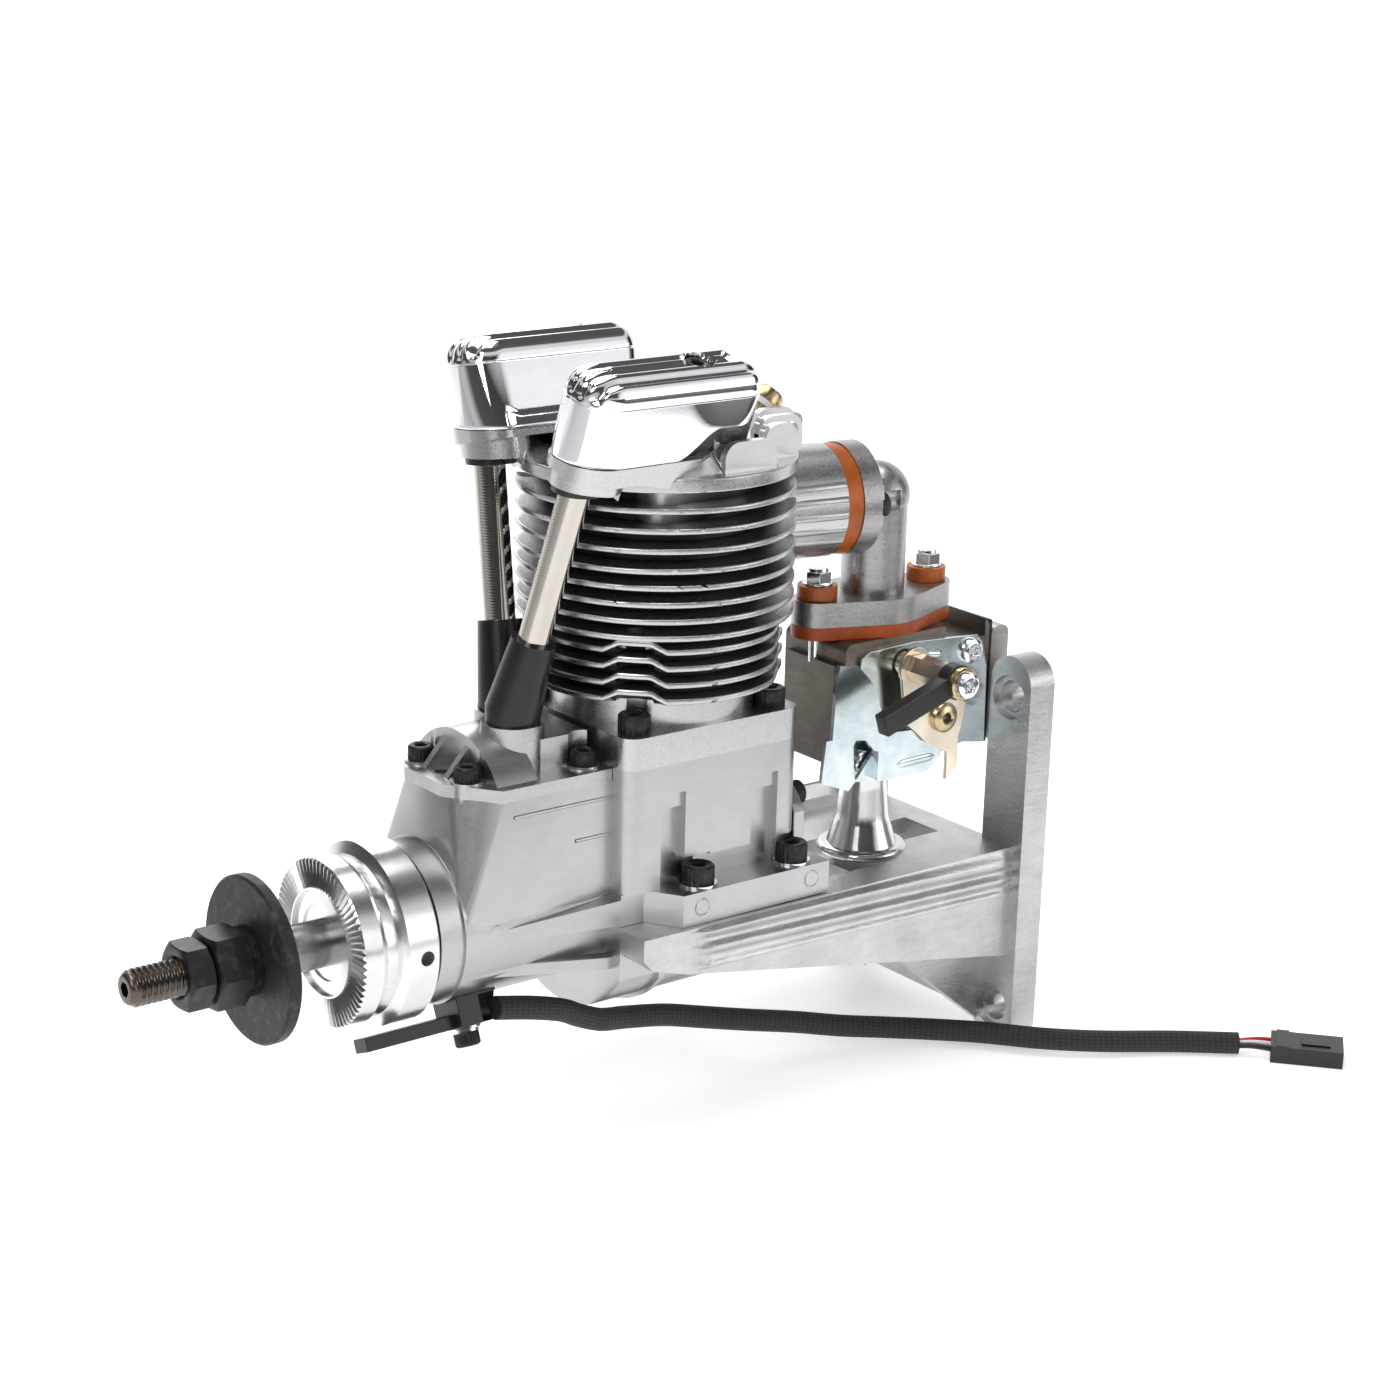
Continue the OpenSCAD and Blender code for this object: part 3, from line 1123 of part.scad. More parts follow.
module sensor_holder() color([0.07, 0.07, 0.07]) from_firewall() difference() {
    sensor_turn() {
        translate([-80, -2.6, -hub_r - 4.4]) cube([26, 5.2, 3]);
        translate([-58.5, -5, -hub_r - 4.4]) cube([10, 10, 8]);
    }
    translate([-60, 0, 0]) along_x() cylinder(r = housing_r, h = 30);
    translate([-55, 0, 0]) sensor_turn() translate([0, 0, -30]) cylinder(r = m3_r + 0.1, h = 15);
    translate(lead_start) cube([6, 6, 6], center = true);
}

module sensor_screws() color("silver") from_firewall() translate([-55, 0, 0]) sensor_turn()
    translate([0, 0, -hub_r - 4.4]) rotate([180, 0, 0]) cap_screw(m3_r, m3_head_r, 8, 3);

function unit(v) = v / norm(v);
function route_dir(p, i) = unit(p[min(i + 1, len(p) - 1)] - p[max(i - 1, 0)]);
function ring_at(p, i, r) = let(d = route_dir(p, i), u = unit(cross([0, 0, 1], d)), w = cross(d, u))
    [for (k = [0:lead_sides - 1]) let(a = 360 * k / lead_sides) p[i] + r * (cos(a) * u + sin(a) * w)];
module sweep(p, r) {
    n = len(p);
    m = lead_sides;
    points = [for (i = [0:n - 1]) each ring_at(p, i, r)];
    sides = [for (i = [0:n - 2]) for (k = [0:m - 1])
        [i * m + k, i * m + (k + 1) % m, (i + 1) * m + (k + 1) % m, (i + 1) * m + k]];
    polyhedron(points = points, convexity = 4, faces = concat(
        [[for (k = [m - 1:-1:0]) k]], [for (f = sides) [f[0], f[1], f[2]]],
        [for (f = sides) [f[0], f[2], f[3]]], [[for (k = [0:m - 1]) (n - 1) * m + k]]));
}
module sensor_lead() color([0.07, 0.07, 0.07]) from_firewall() sweep(lead_route, lead_d / 2);

function lead_turn() = let(d = lead_end - lead_route[len(lead_route) - 2]) atan2(d.y, d.x);
module lead_plug() color([0.05, 0.05, 0.05]) from_firewall() translate(lead_end)
    rotate([0, 0, lead_turn()]) {
        translate([0, -2.2, -2]) cube([wire_len + 1, 4.4, 3.4]);
        translate([wire_len, 0, 0]) rotate([0, 0, plug_turn]) translate([0, -plug_w / 2, -2.6])
            cube([plug_len, plug_w, 4.4]);
    }

crankshaft();
crank_gear();
drive_hub();
trigger_magnet();
prop_washer();
prop_nut();
lock_nut();
crankcase();
front_housing();
shaft_bearings();
rear_cover();
case_screws();
cam_cover();
camshaft();
piston();
rod_pins();
connecting_rod();
cylinder_node();  // cylinder
cylinder_screws();
spark_plug();
intake_rocker_cover();
exhaust_rocker_cover();
rocker_cover_screws();
rocker_shafts();
intake_rocker();
exhaust_rocker();
intake_valve();
exhaust_valve();
intake_valve_spring();
exhaust_valve_spring();
intake_pushrod();
exhaust_pushrod();
pushrod_tubes();
tube_seals();
rubber_boots();
intake_insulator();
intake_elbow();
elbow_screws();
carb_insulator();
stud_bushes();
carb_studs();
carb_body();
pump_gasket();
pump_cover();
linkage_bracket();
bracket_screws();
throttle_shaft();
throttle_spacer();
throttle_lever();
throttle_arm();
choke_shaft();
choke_lever();
velocity_stack();
engine_mount();
mount_screws();
mount_washers();
sensor_holder();
sensor_screws();
sensor_lead();
lead_plug();
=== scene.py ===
"""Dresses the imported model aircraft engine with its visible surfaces, small fittings, lead and studio."""
import json
import math

import bmesh
import bpy
from mathutils import Matrix, Vector

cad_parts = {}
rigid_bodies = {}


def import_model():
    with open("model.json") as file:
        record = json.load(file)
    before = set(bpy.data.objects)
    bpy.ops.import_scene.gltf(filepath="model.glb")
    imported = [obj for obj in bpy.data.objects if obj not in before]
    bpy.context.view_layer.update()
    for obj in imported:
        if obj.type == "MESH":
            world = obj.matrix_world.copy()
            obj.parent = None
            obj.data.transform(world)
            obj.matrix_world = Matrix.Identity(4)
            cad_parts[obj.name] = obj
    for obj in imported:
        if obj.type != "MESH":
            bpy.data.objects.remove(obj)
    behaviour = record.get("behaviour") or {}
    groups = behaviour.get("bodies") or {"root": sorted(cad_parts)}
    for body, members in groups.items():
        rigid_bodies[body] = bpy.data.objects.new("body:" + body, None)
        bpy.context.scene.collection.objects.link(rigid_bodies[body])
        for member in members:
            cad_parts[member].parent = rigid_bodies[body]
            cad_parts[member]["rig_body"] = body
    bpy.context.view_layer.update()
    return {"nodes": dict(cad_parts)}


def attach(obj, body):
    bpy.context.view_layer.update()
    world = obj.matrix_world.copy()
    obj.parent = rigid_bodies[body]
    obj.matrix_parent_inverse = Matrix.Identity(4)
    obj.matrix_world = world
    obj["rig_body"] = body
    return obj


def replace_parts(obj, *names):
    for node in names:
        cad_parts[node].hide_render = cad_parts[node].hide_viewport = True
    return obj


bl_info = {
    "name": "Model engine dressing",
    "version": (1, 0, 0),
    "blender": (4, 5, 0),
    "location": "View3D > Sidebar > Engine",
    "description": "Builds the finished look of a four-stroke model aircraft engine around its packed solids",
    "category": "Object",
}

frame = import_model()

# The drawing of the engine puts the crank axis and the cylinder axis through its origin, in millimetres.
FIREWALL_X = 89.5
HOLE_MID_Z = -5.8
FLOOR_Z = -51.0
LEAN = math.radians(16)
LEAN_Z = 37.0
CAD_SEAM = 63.6
BOSS_LIFT, BOSS_SLOPE = 2.9, 0.163
COVER_FRONT, COVER_REAR, COVER_HALF = -37.5, 4.7, 9.4
COVER_LINE, COVER_TOP = 77.55, 83.9
COVER_SCREW_X = -7.4
COVER_SCREW_Z = COVER_TOP - 3.5
FIN_LOW_R, FIN_TOP_R, DECK_Z = 28.0, 30.2, 94.0
ARCH_LOW, ARCH_HIGH, ARCH_R = 45.2, 58.0, 26.0
SQUARE_PLATE_TOP, SUNK_TOP = 101.3, 98.2
PORT_TURN, PORT_Z, PORT_BOLT_R = math.radians(9), 79.5, 9.6
# Each head plate: its middle across the engine, its front and rear ends and its top.
HEAD_PLATES = [
    (-26.5, -3, 10.6, 100.3), (-19.5, 13, 22, 101.3), (-12.5, 17, 29, 101.3),
    (-5.5, 21, 33, 101.3), (26.5, -3, 10.6, 100.3), (19.5, 13, 22, 101.3),
]
PLATE_CORNER = 3.6
NEAR_FACE = -19.21
CARB_X, THROTTLE_Z = 55.0, 43.0
THREAD_TIP, THREAD_END, THREAD_PITCH = -127.8, -100.8, 1.25
SENSOR_TURN = math.radians(24)
PLUG_TURN = math.radians(-11)
FLOOR_TURN = math.radians(38)
# The camera's turns in degrees, then how far right, below and ahead of it the origin lies, then its lens.
CAMERA_TURNS = (38.11, 16.82, -1.5)
ORIGIN_SEEN = (-11.52, 36.57, 633.33)
FOCAL_PIXELS, PHOTO_PIXELS = 2850.0, 1400
LEAD_ROUTE = [(-50, -14, -17.5), (-41, -14.6, -19.4), (-32.5, -13.4, -22.4), (-27, -12.2, -25.4),
              (-20, -10.6, -28.6), (-11.6, -8, -31), (0, -7, -33.6), (10.2, -7.5, -36.4),
              (22, -9, -39.4), (35, -11, -42.4), (46, -14.4, -44.8), (55.9, -18.4, -46.2),
              (66, -24.6, -47), (75.2, -32, -47.4), (84.3, -42.4, -47.4), (95.6, -51, -47.8),
              (109.7, -59.3, -48.3), (122.1, -68.9, -48.35)]


def at(x, y, z):
    """A point of the engine drawing, in millimetres, as a point of the shared frame in metres."""
    return Vector(((x - FIREWALL_X) / 1000, y / 1000, (z - HOLE_MID_Z) / 1000))


def on_lean(side, x, y, z):
    """A point of one leaning rocker box, side -1 near and 1 far, as a point of the engine drawing."""
    s, c = math.sin(LEAN), math.cos(LEAN)
    return (x, y * c + side * s * z, LEAN_Z - side * s * y + c * z)


def off_lean(side, x, y, z):
    """The other way round: a point of the drawing in the frame of one leaning rocker box."""
    s, c = math.sin(LEAN), math.cos(LEAN)
    return (x, y * c - side * s * (z - LEAN_Z), side * s * y + c * (z - LEAN_Z))


def smooth(t):
    """0 below 0, 1 above 1, and an even S between."""
    t = min(max(t, 0.0), 1.0)
    return t * t * (3 - 2 * t)


def seam_height(outward):
    """Height of the cover's seam on the leaning box: it rises towards the outer side."""
    return 64.35 + 0.165 * outward


def in_drawing(point):
    """A point of the shared frame in metres as a point of the engine drawing in millimetres."""
    return (point.x * 1000 + FIREWALL_X, point.y * 1000, point.z * 1000 + HOLE_MID_Z)


# Shader building

class Wire:
    """A shader socket that takes part in Python arithmetic by adding Math nodes."""

    def __init__(self, paint, socket):
        self.paint = paint
        self.socket = socket

    def _math(self, operation, a, b=0.0):
        return self.paint.node("ShaderNodeMath", {"operation": operation}, {0: a, 1: b})

    def __add__(self, other):
        return self._math("ADD", self, other)

    __radd__ = __add__

    def __sub__(self, other):
        return self._math("SUBTRACT", self, other)

    def __rsub__(self, other):
        return self._math("SUBTRACT", other, self)

    def __mul__(self, other):
        return self._math("MULTIPLY", self, other)

    def __truediv__(self, other):
        return self._math("DIVIDE", self, other)

    def __pow__(self, other):
        return self._math("POWER", self, other)

    def __lt__(self, other):
        return self._math("LESS_THAN", self, other)

    def __gt__(self, other):
        return self._math("GREATER_THAN", self, other)

    def sin(self):
        return self._math("SINE", self)

    def abs(self):
        return self._math("ABSOLUTE", self)

    def span(self, low, high):
        """0 below low, 1 above high, straight between."""
        return self.paint.node("ShaderNodeMapRange", {}, {0: self, 1: low, 2: high})


class Paint:
    """One material, or the world, and the nodes that make its finish."""

    def __init__(self, name, kind="materials", **fixed):
        self.material = getattr(bpy.data, kind).new(name)
        self.material.use_nodes = True
        self.tree = self.material.node_tree
        self.shader = self.tree.nodes["Background" if kind == "worlds" else "Principled BSDF"]
        for socket, value in fixed.items():
            self.shader.inputs[socket.replace("_", " ")].default_value = value

    def node(self, kind, settings=None, inputs=None, output=0):
        """Adds one node with its settings and inputs, and returns one of its outputs."""
        node = self.tree.nodes.new(kind)
        for key, value in (settings or {}).items():
            if key == "stops":
                ramp = node.color_ramp.elements
                while len(ramp) < len(value):
                    ramp.new(0.5)
                for stop, (place, colour) in zip(ramp, value):
                    stop.position = place
                    stop.color = (*colour, 1) if len(colour) == 3 else colour
            else:
                setattr(node, key, value)
        for key, value in (inputs or {}).items():
            socket = node.inputs[key]
            if isinstance(value, Wire):
                self.tree.links.new(value.socket, socket)
            elif socket.type == "RGBA":
                socket.default_value = (*value, 1)
            else:
                socket.default_value = value
        return Wire(self, node.outputs[output])

    def place(self):
        """The piece's own coordinates, in metres."""
        return self.node("ShaderNodeTexCoord", {}, {}, "Object")

    def parts(self, place=None):
        """The three coordinates of a place, the piece's own if none is given."""
        place = place or self.place()
        return [self.node("ShaderNodeSeparateXYZ", {}, {0: place}, i) for i in range(3)]

    def grain(self, scale, detail=2.0, rough=0.5, stretch=None):
        """Noise from 0 to 1 with features of about 1/scale metre."""
        place = self.place()
        if stretch:
            place = self.node("ShaderNodeVectorMath", {"operation": "MULTIPLY"}, {0: place, 1: stretch})
        return self.node("ShaderNodeTexNoise", {}, {"Vector": place, "Scale": scale, "Detail": detail,
                                                    "Roughness": rough}, "Fac")

    def blend(self, factor, a, b):
        """Colour a where factor is 0, colour b where it is 1."""
        return self.node("ShaderNodeMix", {"data_type": "RGBA"}, {0: factor, 6: a, 7: b}, 2)

    def feed(self, socket, wire):
        self.tree.links.new(wire.socket, self.shader.inputs[socket])

    def bump(self, height, depth, strength=1.0):
        """Raises the surface by height times depth metres."""
        node = self.node("ShaderNodeBump", {}, {"Height": height, "Distance": depth, "Strength": strength})
        self.feed("Normal", node)


def cast_metal(name, colour, dark, rough, grit=0.00003, size=2600):
    """Die-cast aluminium: fine skin, cloudy brightness and faint flow marks."""
    p = Paint(name, Metallic=1.0)
    cloud = p.grain(90, 3)
    skin = p.grain(size, 2)
    flow = p.grain(240, 2, 0.6, (1, 1, 4))
    p.feed("Base Color", p.blend((cloud * 0.5 + flow * 0.3 + skin * 0.25).span(0.3, 0.75), dark, colour))
    p.feed("Roughness", rough + (skin - 0.5) * 0.18 + (cloud - 0.5) * 0.1)
    p.bump(skin + flow * 0.6, grit)
    return p.material


def finned_metal():
    """Blasted aluminium of the cylinder, with painted shade: the barrel deep between the fins is painted
    nearly black.
    """
    p = Paint("cylinder_blasted", Metallic=1.0)
    x, y, z = p.parts()
    radius = ((x + FIREWALL_X / 1000) ** 2 + y * y) ** 0.5
    # painted shade: near the barrel, between the lowest and highest fins, the colour turns nearly black and
    # rougher, standing in for the shade in the fin gaps
    painted_fin_gap_shade = (1 - radius.span(0.0228, 0.0276)) * (z < 0.098) * (z > 0.0508)
    skin = p.grain(2400, 2)
    base = p.blend(skin.span(0.3, 0.7), (0.52, 0.52, 0.525), (0.6, 0.605, 0.61))
    p.feed("Base Color", p.blend(painted_fin_gap_shade * 0.93, base, (0.035, 0.032, 0.03)))
    p.feed("Roughness", 0.3 + (skin - 0.5) * 0.2 + painted_fin_gap_shade * 0.2)
    p.bump(skin, 0.000012)
    return p.material


def turned_metal(name, colour, rough, axis, pitch=0.00022):
    """Bright turned metal with tool rings around one axis of the piece."""
    p = Paint(name, Metallic=1.0)
    along = p.parts()[axis]
    wander = p.grain(700, 1)
    rings = (along / pitch * 6.283 + wander * 3).sin()
    cloud = p.grain(120, 2)
    p.feed("Base Color", p.blend(cloud.span(0.3, 0.7), [c * 0.9 for c in colour], colour))
    p.feed("Roughness", rough + (cloud - 0.5) * 0.08 + rings * 0.02)
    p.bump(rings, 0.0000025)
    return p.material


def polished(name, colour, rough):
    """Mirror plating with the faintest haze."""
    p = Paint(name, Metallic=1.0)
    haze = p.grain(260, 3)
    p.feed("Base Color", p.blend(haze.span(0.35, 0.7), [c * 0.96 for c in colour], colour))
    p.feed("Roughness", rough + haze * 0.03)
    p.bump(p.grain(1500, 1), 0.0000015)
    return p.material


def oxide_steel(name, colour=(0.012, 0.012, 0.014), rough=0.38):
    """Black oxide on steel, with a grey shine worn into it."""
    p = Paint(name, Metallic=0.35)
    grit = p.grain(2200, 2)
    wear = p.grain(420, 3)
    p.feed("Base Color", p.blend(wear.span(0.5, 0.8), colour, [c * 3.2 + 0.01 for c in colour]))
    p.feed("Roughness", rough + (grit - 0.5) * 0.25)
    p.bump(grit, 0.000015)
    return p.material


def moulded(name, colour, rough, mottled=0.2, grit=0.00001, size=1500):
    """Moulded plastic, rubber or phenolic board."""
    p = Paint(name)
    cloud = p.grain(180, 3)
    grain = p.grain(size, 2)
    dark = [c * (1 - mottled) for c in colour]
    p.feed("Base Color", p.blend((cloud * 0.7 + grain * 0.3).span(0.3, 0.7), dark, colour))
    p.feed("Roughness", rough + (grain - 0.5) * 0.15)
    p.bump(grain, grit)
    return p.material


def plated(name, colour, tint, rough):
    """Zinc or nickel plating with a cloudy tint."""
    p = Paint(name, Metallic=1.0)
    cloud = p.grain(130, 3)
    streak = p.grain(500, 2, 0.5, (1, 1, 5))
    p.feed("Base Color", p.blend(cloud.span(0.35, 0.68), colour, tint))
    p.feed("Roughness", rough + (streak - 0.5) * 0.12)
    p.bump(streak, 0.0000025)
    return p.material


def braided():
    """Black braided sleeve: two sets of strands wound against each other."""
    p = Paint("braided_sleeve")
    place = p.node("ShaderNodeTexCoord", {}, {}, "UV")
    u, v = p.parts(place)[:2]
    one = (u * 6.283 * 380 + v * 6.283 * 10).sin()
    two = (u * 6.283 * 380 - v * 6.283 * 10).sin()
    weave = (one * two).span(-0.8, 0.8)
    fuzz = p.grain(3000, 1)
    p.feed("Base Color", p.blend(weave * 0.8 + fuzz * 0.2, (0.003, 0.003, 0.0035), (0.026, 0.026, 0.03)))
    p.feed("Roughness", 0.5 + fuzz * 0.3)
    p.bump(weave, 0.00012)
    return p.material


def paints():
    """Every finish on the engine, by name."""
    return {
        "cast": cast_metal("cast_satin", (0.54, 0.545, 0.55), (0.43, 0.435, 0.44), 0.33, 0.000022),
        "cast_fine": cast_metal("cast_fine", (0.55, 0.555, 0.56), (0.4, 0.405, 0.41), 0.3, 0.00002, 3200),
        "mount": cast_metal("mount_rough_cast", (0.66, 0.66, 0.665), (0.42, 0.42, 0.425), 0.36,
                            0.00009, 1700),
        "cylinder": finned_metal(),
        # painted highlight: the head plates get a much lighter copy of the cast metal so that they read as
        # brightly lit faces
        "lit_head_plates": cast_metal("head_plates", (0.86, 0.86, 0.86), (0.74, 0.74, 0.745), 0.42, 0.00002, 3200),
        "elbow": cast_metal("elbow_cast", (0.5, 0.495, 0.49), (0.3, 0.29, 0.285), 0.34, 0.00006, 1500),
        "carb": cast_metal("carb_cast", (0.3, 0.26, 0.225), (0.14, 0.12, 0.105), 0.42, 0.00006, 1700),
        "pump": cast_metal("pump_cast", (0.6, 0.56, 0.52), (0.36, 0.33, 0.3), 0.34, 0.00005, 1700),
        "turned": turned_metal("hub_turned", (0.82, 0.825, 0.83), 0.22, 0),
        "stack": turned_metal("stack_turned", (0.72, 0.72, 0.72), 0.12, 2),
        "shaft": turned_metal("shaft_ground", (0.32, 0.315, 0.31), 0.26, 0),
        "thread": plated("thread_steel", (0.16, 0.135, 0.118), (0.1, 0.085, 0.075), 0.28),
        "steel": turned_metal("inner_steel", (0.6, 0.59, 0.58), 0.25, 1),
        "dark_steel": oxide_steel("hardened_steel", (0.08, 0.08, 0.085), 0.35),
        "chrome": polished("cover_chrome", (0.93, 0.94, 0.96), 0.02),
        "bright": polished("bright_nut", (0.85, 0.86, 0.88), 0.1),
        "tube": turned_metal("tube_polished", (0.6, 0.56, 0.51), 0.09, 2, 0.0006),
        "black": oxide_steel("black_oxide"),
        "washer_black": oxide_steel("washer_black", (0.018, 0.018, 0.02), 0.5),
        "rubber": moulded("boot_rubber", (0.006, 0.006, 0.007), 0.3, 0.4, 0.000006, 900),
        "plastic": moulded("black_plastic", (0.012, 0.012, 0.013), 0.35, 0.3),
        "ceramic": moulded("plug_ceramic", (0.82, 0.82, 0.8), 0.2, 0.05),
        "orange": moulded("orange_insulator", (0.58, 0.125, 0.008), 0.34, 0.5, 0.00002, 700),
        "orange_dark": moulded("orange_gasket", (0.5, 0.085, 0.008), 0.4, 0.45, 0.00002, 700),
        "zinc": plated("zinc_plate", (0.72, 0.78, 0.8), (0.5, 0.6, 0.62), 0.2),
        "brass": plated("brass_turned", (0.6, 0.49, 0.3), (0.46, 0.36, 0.2), 0.24),
        "nickel": plated("nickel_spacer", (0.72, 0.66, 0.56), (0.5, 0.42, 0.32), 0.2),
        "champagne": plated("champagne_stamped", (0.86, 0.78, 0.66), (0.68, 0.58, 0.46), 0.24),
        "sleeve": braided(),
        "wire_red": moulded("wire_red", (0.55, 0.01, 0.01), 0.3, 0.1),
        "wire_white": moulded("wire_white", (0.8, 0.8, 0.78), 0.3, 0.05),
        "wire_black": moulded("wire_black", (0.01, 0.01, 0.01), 0.3, 0.1),
    }


# Mesh building

def sharp_by_angle(bm, degrees):
    """Shades the faces smooth and keeps the edges sharp that turn by more than the given angle."""
    limit = math.radians(degrees)
    for face in bm.faces:
        face.smooth = True
    for edge in bm.edges:
        edge.smooth = edge.is_manifold and edge.calc_face_angle(0) < limit


def stand(name, bm, paint, body):
    """Turns a bmesh in frame metres into a painted piece that rides on its body."""
    mesh = bpy.data.meshes.new(name)
    bm.to_mesh(mesh)
    bm.free()
    obj = bpy.data.objects.new(name, mesh)
    bpy.context.scene.collection.objects.link(obj)
    mesh.materials.append(PAINTS[paint])
    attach(obj, body)
    return obj


def finish_piece(name, bm, paint, body, degrees=32):
    """Stands a newly built shape, with its faces turned outwards and its edges shaded."""
    bmesh.ops.recalc_face_normals(bm, faces=bm.faces[:])
    sharp_by_angle(bm, degrees)
    return stand(name, bm, paint, body)


def grid_piece(bm, rows, closed=True, cap_start=False, cap_end=False):
    """Adds rings of points, each a list of frame points, joined by quads."""
    rings = [[bm.verts.new(p) for p in row] for row in rows]
    n = len(rings[0])
    for a, b in zip(rings, rings[1:]):
        for k in range(n if closed else n - 1):
            j = (k + 1) % n
            bm.faces.new((a[k], a[j], b[j], b[k]))
    if cap_start:
        bm.faces.new(rings[0][::-1])
    if cap_end:
        bm.faces.new(rings[-1])
    return rings


def axes_of(axis):
    """The unit axis and two directions square to it."""
    axis = Vector(axis).normalized()
    side = axis.orthogonal().normalized()
    return axis, side, axis.cross(side)


def around(origin, axes, radius, distance, angle):
    """A frame point beside an axis, distance along it from origin, both in mm of the drawing."""
    axis, side, other = axes
    spoke = side * math.cos(angle) + other * math.sin(angle)
    return at(*(Vector(origin) + axis * distance + spoke * radius))


def lathe(bm, profile, origin, axis, turn=64):
    """Adds a turned shape: profile gives (radius, distance) in mm along axis from origin."""
    axes = axes_of(axis)
    angles = [2 * math.pi * k / turn for k in range(turn)]
    grid_piece(bm, [[around(origin, axes, max(r, 0.001), d, a) for a in angles] for r, d in profile])


def hexagon(half, angle):
    """Radius at an angle of a hexagon that is half wide from its middle to a flat."""
    return half / math.cos((angle % (math.pi / 3)) - math.pi / 6)


def prism(bm, outline, low, high, to_drawing):
    """Adds a flat plate: outline of (a, b) from depth low to high, which to_drawing places."""
    rows = [[at(*to_drawing(a, b, d)) for a, b in outline] for d in (low, high)]
    grid_piece(bm, rows, cap_start=True, cap_end=True)


def bevelled(bm, width, degrees=38, segments=2, shortest=0.0):
    """Rounds the edges that turn by more than the given angle and are longer than shortest, in mm."""
    edges = [e for e in bm.edges if e.is_manifold and e.calc_face_angle(0) > math.radians(degrees)
             and e.calc_length() * 1000 > shortest]
    bmesh.ops.bevel(bm, geom=edges, offset=width / 1000, segments=segments, affect="EDGES",
                    profile=0.5, clamp_overlap=True)


def dress(node, paint, bevel=0.0, shape=None):
    """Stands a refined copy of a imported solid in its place: merged, softened edges and its finish."""
    source = frame["nodes"][node]
    bm = bmesh.new()
    bm.from_mesh(source.data)
    bmesh.ops.remove_doubles(bm, verts=bm.verts[:], dist=2e-6)
    if shape:
        shape(bm)
    if bevel:
        bmesh.ops.dissolve_limit(bm, angle_limit=math.radians(0.6), verts=bm.verts[:], edges=bm.edges[:])
        bm.normal_update()
        bevelled(bm, bevel, shortest=bevel * 0.8)
    sharp_by_angle(bm, 30)
    obj = stand(node + "_finish", bm, paint, source["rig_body"])
    even = obj.modifiers.new("even_shading", "WEIGHTED_NORMAL")
    even.keep_sharp = True
    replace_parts(obj, node)
    return obj


def cap_screw(bm, origin, axis, radius, height):
    """Adds a socket-head screw's head: knurled rim, chamfer and hex socket; origin is its seat."""
    axes = axes_of(axis)
    turn = 96
    hex_r = radius * 0.5

    def ring(r, d, knurl=0.0, hexed=False):
        row = []
        for k in range(turn):
            a = 2 * math.pi * k / turn
            out = hexagon(r * math.cos(math.pi / 6), a) if hexed else r - knurl * (k % 4 in (0, 1))
            row.append(around(origin, axes, out, d, a))
        return row

    rows = [ring(radius - 0.15, 0), ring(radius, 0.2, 0.12), ring(radius, height - 0.5, 0.12),
            ring(radius - 0.1, height - 0.3), ring(radius - 0.45, height), ring(hex_r + 0.35, height),
            ring(hex_r + 0.1, height - 0.2, 0, True), ring(hex_r, height - 0.35, 0, True),
            ring(hex_r, height * 0.42, 0, True), ring(0.05, height * 0.36)]
    grid_piece(bm, rows, cap_start=True, cap_end=True)


def pan_screw(bm, origin, axis, radius, height):
    """Adds a domed cross-recess screw head."""
    axes = axes_of(axis)
    turn = 64

    def ring(r, d, cross=0.0):
        row = []
        for k in range(turn):
            a = 2 * math.pi * k / turn
            dip = 0.0
            if cross:
                near = min(abs(r * math.sin(a)), abs(r * math.cos(a)))
                dip = cross * (1 - smooth((near - 0.22) / 0.22))
            row.append(around(origin, axes, r, d - dip, a))
        return row

    rows = [ring(radius, 0), ring(radius, height * 0.5), ring(radius * 0.93, height * 0.8),
            ring(radius * 0.78, height * 0.95), ring(radius * 0.66, height)]
    for r in (0.6, 0.5, 0.4, 0.3, 0.2, 0.1, 0.02):
        rows.append(ring(radius * r, height + 0.03, height * 0.55))
    grid_piece(bm, rows, cap_start=True, cap_end=True)


# Sizes a user may change

class LeadSettings(bpy.types.PropertyGroup):
    """Size of the sensor lead"""
    diameter: bpy.props.FloatProperty(name="Lead diameter", description="Diameter of the braided sleeve",
                                      default=0.0052, min=0.003, max=0.007, unit="LENGTH")


class CoverSettings(bpy.types.PropertyGroup):
    """Grooves of the rocker covers"""
    groove: bpy.props.FloatProperty(name="Groove depth", description="Depth of the grooves, mm",
                                    default=0.85, min=0.1, max=1.2)
    pitch: bpy.props.FloatProperty(name="Ridge spacing", description="Spacing of the ridges, mm",
                                   default=3.4, min=2.0, max=4.0)


class StageSettings(bpy.types.PropertyGroup):
    """Colour and light of the studio"""
    floor: bpy.props.FloatVectorProperty(name="Floor colour", description="Colour of the studio floor",
                                         subtype="COLOR", size=3, default=(0.93, 0.93, 0.94), min=0, max=1)
    key: bpy.props.FloatProperty(name="Key light", description="Power of the main soft light",
                                 default=7.0, min=0, max=200, unit="POWER")


# Operators

def lead_points():
    """The lead's route as a smooth line of frame points."""
    p = [Vector(q) for q in LEAD_ROUTE]
    p = [2 * p[0] - p[1]] + p + [2 * p[-1] - p[-2]]
    line = []
    for i in range(1, len(p) - 2):
        for k in range(6):
            t = k / 6
            a, b, c, d = p[i - 1], p[i], p[i + 1], p[i + 2]
            line.append(0.5 * ((2 * b) + (c - a) * t + (2 * a - 5 * b + 4 * c - d) * t * t
                               + (3 * b - a - 3 * c + d) * t ** 3))
    line.append(p[-2])
    return [at(*q) for q in line]


